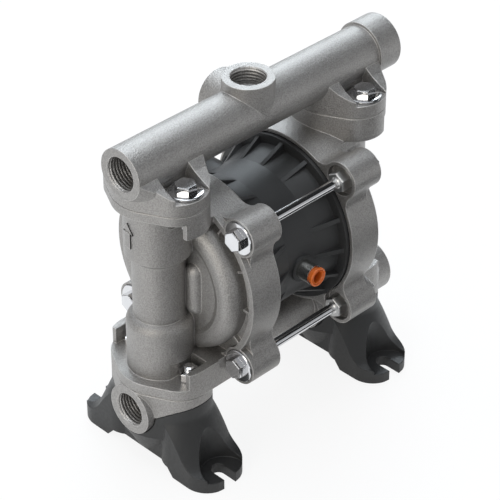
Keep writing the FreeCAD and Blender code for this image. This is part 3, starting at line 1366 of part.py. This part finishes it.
def main():
    fluid_caps()
    outlet_manifold()
    inlet_manifold()
    feet()
    centre_housing()
    shaft_and_plates()
    air_valve()
    air_fittings()
    muffler()
    check_valves()
    fasteners()
    DOC.recompute()
    for item in DOC.Objects:
        if "Invalid" in item.State or "Error" in item.State:
            raise RuntimeError(f"{item.Name} failed: {item.State}")
    for item in NODES:
        if item.Shape.isNull() or not item.Shape.isValid():
            raise RuntimeError(f"{item.Label} has no valid shape")
    os.makedirs("parts", exist_ok=True)
    for item in NODES:
        item.Shape.exportStep(os.path.join("parts", f"{item.Label}.step"))


main()
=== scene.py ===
# %% [markdown]
# # Air operated diaphragm pump
#
# The solids of the pump come in as a fixed frame. This lesson gives them the camera, the light
# and the finishes of a product photograph, and adds what is too fine for the solids: threads,
# chamfered bolt heads, the rounded rims of the collet and the arrow cast into each riser.

# %% Load the solids
import json
import math

import bmesh
import bpy
from mathutils import Matrix, Vector


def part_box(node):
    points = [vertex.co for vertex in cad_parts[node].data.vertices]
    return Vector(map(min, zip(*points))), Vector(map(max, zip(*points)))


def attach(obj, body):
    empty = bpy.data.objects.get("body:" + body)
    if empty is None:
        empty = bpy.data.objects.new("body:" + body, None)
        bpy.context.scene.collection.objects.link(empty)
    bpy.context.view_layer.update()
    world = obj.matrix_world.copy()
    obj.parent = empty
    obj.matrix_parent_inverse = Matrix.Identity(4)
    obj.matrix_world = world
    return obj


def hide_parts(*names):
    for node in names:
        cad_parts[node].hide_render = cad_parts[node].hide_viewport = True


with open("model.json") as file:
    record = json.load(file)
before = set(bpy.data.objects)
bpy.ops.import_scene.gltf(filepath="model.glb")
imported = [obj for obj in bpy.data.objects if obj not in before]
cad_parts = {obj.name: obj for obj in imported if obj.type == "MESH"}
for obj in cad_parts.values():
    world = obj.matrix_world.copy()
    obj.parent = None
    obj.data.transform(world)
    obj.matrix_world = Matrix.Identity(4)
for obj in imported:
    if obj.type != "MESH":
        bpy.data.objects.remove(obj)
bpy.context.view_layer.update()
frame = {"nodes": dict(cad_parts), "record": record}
nodes = frame["nodes"]
MM = 0.001

# %% [markdown]
# ## Camera
#
# A product photograph is taken from far away with a long lens, so that parallel edges stay nearly
# parallel. The camera could be placed by eye, but azimuth, elevation and distance round a point on
# the pump are easier to read and to change. The lens shift moves the picture in the frame without
# turning the camera, as the picture was cropped.

# %% Place the camera
AZIMUTH = math.radians(-44.99)
ELEVATION = math.radians(34.09)
DISTANCE = 1.10085
AIM = Vector((0, 0, 0.12))
SENSOR_MM = 36
LENS_MM = 153.73
SHIFT = (0.0034, -0.0891)

away = Vector((math.sin(AZIMUTH) * math.cos(ELEVATION), -math.cos(AZIMUTH) * math.cos(ELEVATION),
               math.sin(ELEVATION)))
camera_data = bpy.data.cameras.new("camera")
camera_data.sensor_width = SENSOR_MM
camera_data.lens = LENS_MM
camera_data.shift_x = SHIFT[0]
camera_data.shift_y = SHIFT[1]
camera = bpy.data.objects.new("camera", camera_data)
camera.location = AIM + away * DISTANCE
camera.rotation_euler = away.to_track_quat("Z", "Y").to_euler()
bpy.context.collection.objects.link(camera)
bpy.context.scene.camera = camera
bpy.context.scene.view_settings.view_transform = "Standard"
print("camera at", [round(v, 3) for v in camera.location])

# %% [markdown]
# ## Shader maths
#
# A node material is a small program, and wiring it by hand hides what it does. A wrapper round a
# socket lets plain Python write it: `1 - mask * 0.5` adds the Math nodes by itself. Colours and
# vectors go through Mix and Vector Math, because a Math node would turn a colour grey.

# %% Socket wrapper and material builder
NOISE_MIDDLE = (0.3, 0.7)
BEVEL_SAMPLES = 6


class Wire:
    """An output socket that can be used in sums."""

    def __init__(self, finish, socket):
        self.finish = finish
        self.socket = socket

    def sum(self, operation, first, second):
        return self.finish.node("ShaderNodeMath", {"operation": operation}, {0: first, 1: second})

    def __add__(self, other):
        return self.sum("ADD", self, other)

    def __radd__(self, other):
        return self.sum("ADD", other, self)

    def __sub__(self, other):
        return self.sum("SUBTRACT", self, other)

    def __rsub__(self, other):
        return self.sum("SUBTRACT", other, self)

    def __mul__(self, other):
        return self.sum("MULTIPLY", self, other)

    def __rmul__(self, other):
        return self.sum("MULTIPLY", other, self)


class Finish:
    """A material with a Principled shader and short ways to add nodes."""

    def __init__(self, name, **plain):
        self.material = bpy.data.materials.new(name)
        self.material.use_nodes = True
        self.tree = self.material.node_tree
        self.shader = self.tree.nodes["Principled BSDF"]
        for socket, value in plain.items():
            self.shader.inputs[socket.replace("_", " ")].default_value = value
        place = self.tree.nodes.new("ShaderNodeTexCoord")
        self.place = Wire(self, place.outputs["Object"])

    def node(self, kind, settings, values, output=0):
        """Add a node: its settings come first, then the values and links of its sockets."""
        made = self.tree.nodes.new(kind)
        for key, value in settings.items():
            setattr(made, key, value)
        for key, value in values.items():
            if isinstance(value, Wire):
                self.tree.links.new(value.socket, made.inputs[key])
            else:
                made.inputs[key].default_value = value
        return Wire(self, made.outputs[output])

    def noise(self, size_mm, detail):
        """Noise whose features are about that many millimetres wide, from 0 to 1."""
        return self.node("ShaderNodeTexNoise", {}, {"Vector": self.place,
                         "Scale": 1 / (size_mm * MM), "Detail": detail}, "Fac")

    def levels(self, wire, low, high, first=0.0, last=1.0):
        """Stretch part of a range to another range, clamped."""
        return self.node("ShaderNodeMapRange", {}, {"Value": wire, "From Min": low,
                         "From Max": high, "To Min": first, "To Max": last}, "Result")

    def blend(self, mask, first, second):
        """Mix of two colours, the second where the mask is 1."""
        return self.node("ShaderNodeMix", {"data_type": "RGBA"}, {"Factor": mask, 6: first,
                         7: second}, 2)

    def soft(self, radius_mm):
        """Surface direction as if every edge were rounded by that radius."""
        return self.node("ShaderNodeBevel", {"samples": BEVEL_SAMPLES},
                         {"Radius": radius_mm * MM}, "Normal")

    def edges(self, soft, low, high):
        """Mask that is 1 where the rounded direction leaves the real one."""
        true = self.node("ShaderNodeNewGeometry", {}, {}, "Normal")
        same = self.node("ShaderNodeVectorMath", {"operation": "DOT_PRODUCT"},
                         {0: soft, 1: true}, "Value")
        return self.levels(1 - same, low, high)

    def bump(self, height, depth_mm, soft=None):
        """Tilt the surface as if the height were that deep."""
        sockets = {"Height": height, "Strength": 1.0, "Distance": depth_mm * MM}
        if soft:
            sockets["Normal"] = soft
        self.feed("Normal", self.node("ShaderNodeBump", {}, sockets, "Normal"))

    def rough(self, grain, low, high):
        """Roughness that goes from low to high over the middle of a noise."""
        self.feed("Roughness", self.levels(grain, *NOISE_MIDDLE, low, high))

    def feed(self, socket, wire):
        self.tree.links.new(wire.socket, self.shader.inputs[socket])


print("shader helpers ready")

# %% [markdown]
# ## Cast aluminium
#
# The caps and both manifolds are aluminium castings, shot blasted after casting. The blasted skin
# is a field of tiny dents, so it scatters light almost like a matt paint and shows no mirror
# image. A flat grey would look like plastic: fine grain in the bump, a little mottling in colour
# and roughness, and a metallic share keep it a metal. Edges get a painted highlight: their colour
# is mixed a shade lighter along convex and hollow edges alike, where rounded edges catch light.

# %% Cast aluminium
METAL_SHARE = 0.85
GRAIN_MM = 0.7
GRAIN_DEPTH_MM = 0.3
MOTTLE_MM = 16
EDGE_MM = 0.7
WARM = 0.035


def grey(level, warm=0.0):
    """Linear grey, warmer for a positive second number."""
    return (level * (1 + warm), level, level * (1 - warm), 1)


def make_cast():
    cast = Finish("cast_aluminium", Metallic=METAL_SHARE)
    grain = cast.noise(GRAIN_MM, 4)
    mottle = cast.noise(MOTTLE_MM, 3)
    speck = cast.levels(cast.noise(GRAIN_MM, 2), 0.35, 0.65)
    shade = cast.levels(mottle * 0.35 + speck * 0.65, 0.2, 0.8)
    skin = cast.blend(shade, grey(0.28, WARM), grey(0.40, WARM))
    soft = cast.soft(EDGE_MM)
    # Painted highlight: a light grey mixed in along every edge, for light caught by rounded edges.
    edge_highlight = cast.edges(soft, 0.01, 0.15)
    cast.feed("Base Color", cast.blend(edge_highlight * 0.8, skin, grey(0.72, 0.03)))
    cast.rough(grain, 0.36, 0.5)
    cast.bump(grain, GRAIN_DEPTH_MM, soft)
    return cast.material


CAST = make_cast()
print("made", CAST.name)

# %% [markdown]
# ## Black mouldings and painted feet
#
# The centre housing is a glass filled moulding and the feet are powder coated castings. Both are
# near black and satin, but the coat is smoother and shows a soft orange peel, while the moulding
# has a fine spark eroded grain.

# %% Black finishes


def make_moulded():
    moulded = Finish("moulded_black")
    grain = moulded.noise(0.5, 3)
    cloud = moulded.noise(18, 2)
    moulded.feed("Base Color", moulded.blend(cloud, grey(0.022), grey(0.034)))
    moulded.rough(grain, 0.42, 0.55)
    moulded.bump(grain, 0.04, moulded.soft(0.4))
    return moulded.material


def make_painted():
    painted = Finish("painted_black")
    peel = painted.noise(1.6, 2)
    cloud = painted.noise(22, 2)
    painted.feed("Base Color", painted.blend(cloud, grey(0.020), grey(0.028)))
    painted.rough(peel, 0.38, 0.5)
    painted.bump(peel, 0.03, painted.soft(0.8))
    return painted.material


MOULDED = make_moulded()
PAINTED = make_painted()
print("made", MOULDED.name, PAINTED.name)

# %% [markdown]
# ## Bright metals
#
# Bolts, washers, nuts and tie rods are bright plated steel: nearly a mirror, so what they show is
# the studio. The turned plates and the shaft are duller. Each metal could be a material of its
# own, but they differ only in colour, gloss and the depth of their marks, so one function makes
# them all.

# %% Bright metals


def two_tone(finish, cloud, colour, share):
    """The colour, and a darker one where the cloud is low."""
    darker = tuple(share * c for c in colour)
    finish.feed("Base Color", finish.blend(cloud, (*darker, 1), (*colour, 1)))


def make_metal(name, colour, low, high, depth, size_mm=0.8):
    metal = Finish(name, Metallic=1.0)
    marks = metal.noise(size_mm, 3)
    two_tone(metal, metal.noise(9, 2), colour, 0.86)
    metal.rough(marks, low, high)
    metal.bump(marks, depth, metal.soft(0.1))
    return metal.material


BRIGHT = make_metal("bright_steel", (0.80, 0.80, 0.81), 0.05, 0.12, 0.003)
SATIN = make_metal("satin_steel", (0.80, 0.80, 0.79), 0.28, 0.4, 0.01)
SHAFT = make_metal("shaft_steel", (0.55, 0.55, 0.57), 0.2, 0.32, 0.004)
PLATE = make_metal("plate_aluminium", (0.62, 0.62, 0.63), 0.3, 0.42, 0.01)
NICKEL = make_metal("nickel_plate", (0.70, 0.69, 0.66), 0.14, 0.24, 0.004)
BRONZE = make_metal("bronze", (0.48, 0.34, 0.17), 0.4, 0.6, 0.06, 0.5)
print("made six metals")

# %% [markdown]
# ## Plastics and rubber
#
# The release collet is a glossy orange moulding. Seats and balls are white polymer and the
# diaphragms are black rubber; they only show through the ports or not at all, but a pump that is
# taken apart shows them.

# %% Plastics and rubber


def make_plastic(name, colour, gloss_loss, size_mm, depth):
    plastic = Finish(name)
    grain = plastic.noise(size_mm, 3)
    two_tone(plastic, plastic.noise(size_mm * 12, 2), colour, 0.88)
    plastic.rough(grain, gloss_loss - 0.05, gloss_loss + 0.05)
    plastic.bump(grain, depth)
    return plastic.material


ORANGE = make_plastic("collet_orange", (0.62, 0.13, 0.015), 0.35, 0.6, 0.01)
WHITE = make_plastic("white_polymer", (0.78, 0.78, 0.74), 0.35, 0.8, 0.01)
RUBBER = make_plastic("rubber", (0.03, 0.03, 0.03), 0.7, 0.4, 0.03)
print("made three plastics")

# %% [markdown]
# ## Dressing the solids
#
# Each solid names its finish in the record, so one table gives every node its material.

# %% Give every solid its finish
FINISH = {
    "cast_aluminium": CAST, "moulded_black": MOULDED, "painted_black": PAINTED,
    "bright_steel": BRIGHT, "shaft_steel": SHAFT, "plate_aluminium": PLATE,
    "nickel_plate": NICKEL, "bronze": BRONZE, "rubber": RUBBER, "white_polymer": WHITE,
    "collet_orange": ORANGE,
}
for part in frame["record"]["subparts"]:
    mesh = nodes[part["node"]].data
    mesh.materials.clear()
    mesh.materials.append(FINISH[part["material_slot"]])

# %% [markdown]
# ## Hex heads and threads
#
# A real hex head isn't a bare prism: its top edge is chamfered, and the shank below carries a
# rolled thread. Both could be cut with booleans, but a turned part is simpler as rings of
# vertices: each ring has a height and a radius that may depend on the angle, and neighbouring
# rings are joined by quads. A hexagon is then only a radius that changes with the angle, and a
# thread is a radius that changes with angle and height.

# %% Rings of vertices
AROUND = 48
ROWS_PER_PITCH = 4


class Turned:
    """A part built from rings round an axis, in millimetres."""

    def __init__(self, origin, along, corner):
        along = Vector(along)
        corner = Vector(corner)
        side = along.cross(corner)
        turn = Matrix((corner, side, along)).transposed().to_4x4()
        self.place = Matrix.Scale(MM, 4) @ Matrix.Translation(origin) @ turn
        self.shape = bmesh.new()

    def ring(self, height, reach):
        """One closed row; reach is a number or a function of the angle."""
        row = []
        for i in range(AROUND):
            turn = math.tau * i / AROUND
            out = reach(turn) if callable(reach) else reach
            spot = self.place @ Vector((out * math.cos(turn), out * math.sin(turn), height))
            row.append(self.shape.verts.new(spot))
        return row

    def rings(self, pairs):
        return [self.ring(height, reach) for height, reach in pairs]

    def skin(self, rows, closed=False):
        """Quads between neighbouring rows, and a lid on each end of an open stack."""
        for first, second in zip(rows, rows[1:] + ([rows[0]] if closed else [])):
            for i, vert in enumerate(first):
                j = (i + 1) % len(first)
                self.shape.faces.new((vert, first[j], second[j], second[i]))
        if not closed:
            self.shape.faces.new(rows[0])
            self.shape.faces.new(rows[-1])


def finished(name, shape, material, stands_for=None, crisp=20, body="pump"):
    """Turn a bmesh into a piece of the pump; edges sharper than crisp degrees stay sharp."""
    bmesh.ops.recalc_face_normals(shape, faces=shape.faces)
    for face in shape.faces:
        face.smooth = True
    for edge in shape.edges:
        if len(edge.link_faces) == 2:
            edge.smooth = edge.calc_face_angle() < math.radians(crisp)
    mesh = bpy.data.meshes.new(name)
    shape.to_mesh(mesh)
    shape.free()
    mesh.materials.append(material)
    piece = bpy.data.objects.new(name, mesh)
    bpy.context.collection.objects.link(piece)
    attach(piece, body)
    if stands_for:
        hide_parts(stands_for)
    return piece


def hex_reach(flats):
    """Radius of a hexagon by angle, with a corner at the angle nought."""
    return lambda turn: flats / 2 / math.cos(turn % (math.pi / 3) - math.pi / 6)


def scaled(reach, share):
    """The same outline, made smaller by that share."""
    return lambda turn: share * reach(turn)


def thread_rows(part, bottom, top, radius, depth, pitch):
    """Rows of a helical thread: the crest climbs one pitch per turn."""
    def reach(height):
        def at(turn):
            phase = (height / pitch - turn / math.tau) % 1
            fade = min(1, (height - bottom) / pitch, (top - height) / pitch)
            return radius - depth * fade * (1 - abs(2 * phase - 1))
        return at
    count = math.ceil((top - bottom) / pitch * ROWS_PER_PITCH)
    rows = []
    for i in range(count + 1):
        height = bottom + (top - bottom) * i / count
        rows.append(part.ring(height, reach(height)))
    return rows


print("rings ready,", AROUND, "points each")

# %% [markdown]
# ## Bolts
#
# Sixteen bright M6 bolts hold the castings together. Each has a wide captive washer, a chamfered
# head and a rolled thread. The size of each is read from its solid, so that head and washer sit
# where the solid has them.

# %% Bolts
FLATS = 10
HEAD = 4
WASHER = 1.5
WASHER_RADIUS = 9
HEAD_SEAT = 6
THREAD = 3
PITCH = 1
THREAD_DEPTH = 0.45
PLAIN_SHARE = 0.25
CHAMFER = 0.4
FACE_SHARE = 0.93


def middle_of(node):
    """Middle and extent of a solid's box, in millimetres."""
    low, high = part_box(node)
    return [(a + b) / 2 / MM for a, b in zip(low, high)], [(b - a) / MM for a, b in zip(low, high)]


def make_bolt(node, along):
    middle, spread = middle_of(node)
    axis = max(range(3), key=lambda i: abs(along[i]))
    sign = along[axis]
    length = spread[axis] - HEAD - WASHER
    seat = list(middle)
    seat[axis] += sign * (spread[axis] / 2 - HEAD - WASHER)
    bolt = Turned(seat, along, (1, 0, 0) if axis == 2 else (0, 0, 1))
    out = hex_reach(FLATS)
    face = WASHER + HEAD
    rows = bolt.rings([(-length, THREAD - 2 * THREAD_DEPTH)])
    rows += thread_rows(bolt, -length + 0.5, -length * PLAIN_SHARE, THREAD, THREAD_DEPTH, PITCH)
    rows += bolt.rings([
        (0, THREAD), (0, WASHER_RADIUS - 0.4), (0.3, WASHER_RADIUS),
        (WASHER - 0.4, WASHER_RADIUS), (WASHER - 0.1, WASHER_RADIUS - 0.3),
        (WASHER, WASHER_RADIUS - 0.8), (WASHER, HEAD_SEAT), (WASHER, out),
        (face - CHAMFER, out), (face, scaled(out, FACE_SHARE)),
    ])
    bolt.skin(rows)
    finished(f"{node}_turned", bolt.shape, BRIGHT, node)


bolt_count = 0
for part in frame["record"]["subparts"]:
    name = part["node"]
    if "_bolt_" in name:
        if "cap_bolt" in name:
            outwards = (-1, 0, 0) if name.startswith("left") else (1, 0, 0)
        else:
            outwards = (0, 0, 1) if name.startswith("outlet") else (0, 0, -1)
        make_bolt(name, outwards)
        bolt_count += 1
print(bolt_count, "bolts turned")

# %% [markdown]
# ## Nuts and tie rods
#
# The nuts sit in pockets of the flanges and show one chamfered face with the bolt end in it. The
# tie rods are bright bars with a hexagon at each end, which keeps the rod from turning while its
# bolt is tightened. Both are turned parts with the same hexagon. A rod's bar is bright and its
# hexagons are satin, so its faces take one of two materials by their distance from the middle.

# %% Nuts and tie rods
BORE = THREAD + 0.05
MOUTH = THREAD + 0.5
MOUTH_DEPTH = 0.5
GRIP = 7.1
TAP_FLOOR = 1.7
BAR = 2.65
NECK = 0.6


def make_nut(node):
    middle, spread = middle_of(node)
    tall = spread[2]
    nut = Turned([middle[0], middle[1], middle[2] - tall / 2], (0, 0, 1), (1, 0, 0))
    out = hex_reach(FLATS)
    face = scaled(out, FACE_SHARE)
    rows = nut.rings([(MOUTH_DEPTH, BORE), (0, MOUTH), (0, face), (CHAMFER, out),
                      (tall - CHAMFER, out), (tall, face), (tall, MOUTH),
                      (tall - MOUTH_DEPTH, BORE)])
    nut.skin(rows, closed=True)
    finished(f"{node}_turned", nut.shape, BRIGHT, node)


def make_rod(node):
    middle, spread = middle_of(node)
    end = -spread[0] / 2
    root = end + GRIP
    out = hex_reach(FLATS)
    face = scaled(out, FACE_SHARE)
    rod = Turned(middle, (1, 0, 0), (0, 0, 1))
    half = [(root - TAP_FLOOR, BORE), (end + MOUTH_DEPTH, BORE), (end, MOUTH), (end, face),
            (end + CHAMFER, out), (root - CHAMFER, out), (root, face), (root, BAR + NECK),
            (root + NECK, BAR)]
    rod.skin(rod.rings(half + [(-height, reach) for height, reach in reversed(half)]))
    for facet in rod.shape.faces:
        from_middle = abs(facet.calc_center_median().x) / MM
        facet.material_index = int(from_middle > -root - 0.3)
    piece = finished(f"{node}_turned", rod.shape, BRIGHT, node)
    piece.data.materials.append(SATIN)


for part in frame["record"]["subparts"]:
    if "_nut_" in part["node"]:
        make_nut(part["node"])
    if part["node"].startswith("tie_rod"):
        make_rod(part["node"])
print("nuts and rods turned")

# %% [markdown]
# ## Threads in the ports
#
# The ports are tapped with a half inch pipe thread of 1.814 mm pitch. The solid has only the
# tapping bore, so a thin threaded sleeve lines it. The sleeve is a closed ring of rows: the thread
# inside and a plain wall behind it, a little inside the bore. The thread is shallower than a real
# one, because in such soft light it hardly shows.

# %% Port threads
PORT = 9.4
SLEEVE_OUTSIDE = PORT - 0.02
SLEEVE_INSIDE = PORT - 0.06
PORT_CREST = PORT - 0.08
PORT_THREAD = 0.14
PORT_PITCH = 1.814
OUTLET_Z = 179
INLET_Z = 34.7
REAR_MOUTH = 22
PORT_DEPTH = 15
TOP_DEPTH = 10
REAR_DEPTH = 12


def make_port(name, mouth, inwards, depth):
    port = Turned(mouth, inwards, (0, 1, 0) if abs(inwards[0]) else (1, 0, 0))
    rows = port.rings([(0.05, SLEEVE_OUTSIDE), (0.1, SLEEVE_INSIDE)])
    rows += thread_rows(port, 0.9, depth - 0.4, PORT_CREST, PORT_THREAD, PORT_PITCH)
    rows += port.rings([(depth - 0.1, SLEEVE_INSIDE), (depth - 0.1, SLEEVE_OUTSIDE)])
    port.skin(rows, closed=True)
    finished(name, port.shape, CAST)


out_low, out_high = [[v / MM for v in corner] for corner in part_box("outlet_manifold")]
in_low, in_high = [[v / MM for v in corner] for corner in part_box("inlet_manifold")]
make_port("outlet_thread_left", (out_low[0], 0, OUTLET_Z), (1, 0, 0), PORT_DEPTH)
make_port("outlet_thread_right", (out_high[0], 0, OUTLET_Z), (-1, 0, 0), PORT_DEPTH)
make_port("outlet_thread_top", (0, 0, out_high[2]), (0, 0, -1), TOP_DEPTH)
make_port("outlet_thread_rear", (0, REAR_MOUTH, OUTLET_Z), (0, -1, 0), REAR_DEPTH)
make_port("inlet_thread_left", (in_low[0], 0, INLET_Z), (1, 0, 0), PORT_DEPTH)
make_port("inlet_thread_right", (in_high[0], 0, INLET_Z), (-1, 0, 0), PORT_DEPTH)
print("six ports threaded")

# %% [markdown]
# ## Release collet
#
# The orange ring at the mouth of the air fitting is pushed in to free the tube. The moulding has
# rounded rims and a groove between them, which a plain tube would lose, so its section is turned.
# It rides on its own body, because it slides.

# %% Release collet


def make_collet():
    middle, spread = middle_of("release_collet")
    deep = spread[1]
    front = middle[1] - deep / 2
    collet = Turned((middle[0], front, middle[2]), (0, 1, 0), (1, 0, 0))
    section = [(deep, 3.15), (1.4, 3.15), (0.5, 3.25), (0.2, 3.5), (0.25, 3.75), (0.7, 3.9),
               (0.7, 4.1), (0.2, 4.25), (0, 4.5), (0, 4.75), (0.15, 5.05), (0.45, 5.2),
               (1.3, 5.2), (1.6, 5.0), (1.6, 4.2), (deep, 4.2)]
    collet.skin(collet.rings(section), closed=True)
    finished("collet_moulding", collet.shape, ORANGE, "release_collet",
             crisp=50, body="collet")


make_collet()
print("collet turned")

# %% [markdown]
# ## Cast arrow
#
# A thin arrow cast into each riser shows which way the fluid goes. A flat outline would float off
# the round riser, so each corner of the arrow is wrapped round its axis: the distance across
# becomes an angle. Its low walls are painted near black, a painted shade along the raised edges.

# %% Cast arrow
RISER = 17.2
RISER_X = 63.4
ARROW_TURN = math.radians(10)
ARROW_FOOT = -0.4
ARROW_TOP = 0.6
# Painted shade: a near black metal for the arrow's walls, in place of the shadow along its raised
# edges.
ARROW_WALL_SHADE = make_metal("cast_shade", (0.05, 0.05, 0.05), 0.6, 0.75, 0.02)
ARROW = [(0, 146.7), (-4.3, 141.1), (-2.3, 141.1), (-2.3, 132.3), (2.3, 132.3), (2.3, 141.1),
         (4.3, 141.1)]


def make_arrow(name, sign):
    shape = bmesh.new()
    rows = []
    for reach in (RISER + ARROW_FOOT, RISER + ARROW_TOP):
        row = []
        for across, height in ARROW:
            angle = ARROW_TURN + across / RISER
            spot = Vector((sign * (RISER_X + reach * math.cos(angle)), reach * math.sin(angle),
                           height))
            row.append(shape.verts.new(spot * MM))
        rows.append(row)
    # The walls keep the first material, the painted shade; the arrow's face and back take the cast
    # metal.
    for i in range(len(ARROW)):
        j = (i + 1) % len(ARROW)
        shape.faces.new((rows[0][i], rows[0][j], rows[1][j], rows[1][i]))
    for row in rows:
        shape.faces.new(row).material_index = 1
    piece = finished(name, shape, ARROW_WALL_SHADE)
    piece.data.materials.append(CAST)


make_arrow("left_arrow", -1)
make_arrow("right_arrow", 1)
print("two arrows cast")

# %% [markdown]
# ## Floor and light
#
# A white sweep with large soft lamps is how such a picture is taken. The floor is white where the
# camera and mirrors look at it and keeps part of its shadow; the lamps stay at a level at which a
# grey renders as written. Bright metal shows its surroundings, and in an all white studio it would
# vanish, so two black boards that only mirrors see give it dark bands.

# %% Floor and light
FLOOR_HALF = 4
SEEN_WHITE = 0.88
MIRRORED_WHITE = 0.5
THROUGH_WHITE = 0.72
LAMP_AIM = Vector((0, 0, 0.1))


def make_floor():
    mesh = bpy.data.meshes.new("floor")
    shape = bmesh.new()
    bmesh.ops.create_grid(shape, x_segments=8, y_segments=8, size=FLOOR_HALF)
    shape.to_mesh(mesh)
    shape.free()
    floor = bpy.data.objects.new("floor", mesh)
    bpy.context.collection.objects.link(floor)
    paper = Finish("paper", Roughness=0.9)
    paper.feed("Base Color", paper.blend(paper.noise(300, 2), grey(0.86), grey(0.88)))
    glow = paper.node("ShaderNodeEmission", {}, {"Color": grey(1.0), "Strength": 1.0})
    path = paper.tree.nodes.new("ShaderNodeLightPath")
    seen = Wire(paper, path.outputs["Is Camera Ray"])
    mirrored = Wire(paper, path.outputs["Is Glossy Ray"])
    through = Wire(paper, path.outputs["Is Transmission Ray"])
    mask = seen * SEEN_WHITE + mirrored * MIRRORED_WHITE + through * THROUGH_WHITE
    lit = Wire(paper, paper.shader.outputs[0])
    both = paper.node("ShaderNodeMixShader", {}, {0: mask, 1: lit, 2: glow})
    out = paper.tree.nodes["Material Output"]
    paper.tree.links.new(both.socket, out.inputs["Surface"])
    mesh.materials.append(paper.material)


def softbox(name, at, size, power, colour):
    lamp_data = bpy.data.lights.new(name, "AREA")
    lamp_data.shape = "RECTANGLE"
    lamp_data.size = size[0]
    lamp_data.size_y = size[1]
    lamp_data.energy = power
    lamp_data.color = colour
    lamp = bpy.data.objects.new(name, lamp_data)
    lamp.location = at
    lamp.rotation_euler = (Vector(at) - LAMP_AIM).to_track_quat("Z", "Y").to_euler()
    bpy.context.collection.objects.link(lamp)


def dark_card(name, corners):
    """A black board that only mirrors see, for the black bands in bright metal."""
    mesh = bpy.data.meshes.new(name)
    mesh.from_pydata(corners, [], [(0, 1, 2, 3)])
    card = bpy.data.objects.new(name, mesh)
    bpy.context.collection.objects.link(card)
    felt = Finish(f"{name}_felt", Roughness=1.0)
    felt.feed("Base Color", felt.blend(felt.noise(200, 2), grey(0.01), grey(0.02)))
    mesh.materials.append(felt.material)
    card.visible_camera = False
    card.visible_shadow = False
    card.visible_diffuse = False


make_floor()
dark_card("front_card", [(-0.3, -0.4, 0.003), (0.3, -0.4, 0.003), (0.3, -0.1, 0.003),
                         (-0.3, -0.1, 0.003)])
dark_card("ceiling_card", [(0.5, -1.5, 1.2), (2.0, -1.5, 1.2), (2.0, 0.7, 1.2), (0.5, 0.7, 1.2)])
softbox("sky_box", (0.05, 0.25, 1.5), (1.3, 1.3), 15.5, (0.88, 0.94, 1.0))
softbox("back_box", (1.2, 1.2, 1.2), (1.4, 0.9), 19, (0.84, 0.93, 1.0))
softbox("left_box", (-1.6, -0.3, 0.8), (0.9, 0.9), 8.8, (1.0, 0.96, 0.88))
world = bpy.data.worlds.new("studio")
world.use_nodes = True
sky = world.node_tree.nodes["Background"]
sky.inputs["Color"].default_value = (0.95, 0.97, 1.0, 1)
sky.inputs["Strength"].default_value = 0.5
bpy.context.scene.world = world
print("floor, two cards, three lamps and the world are set")
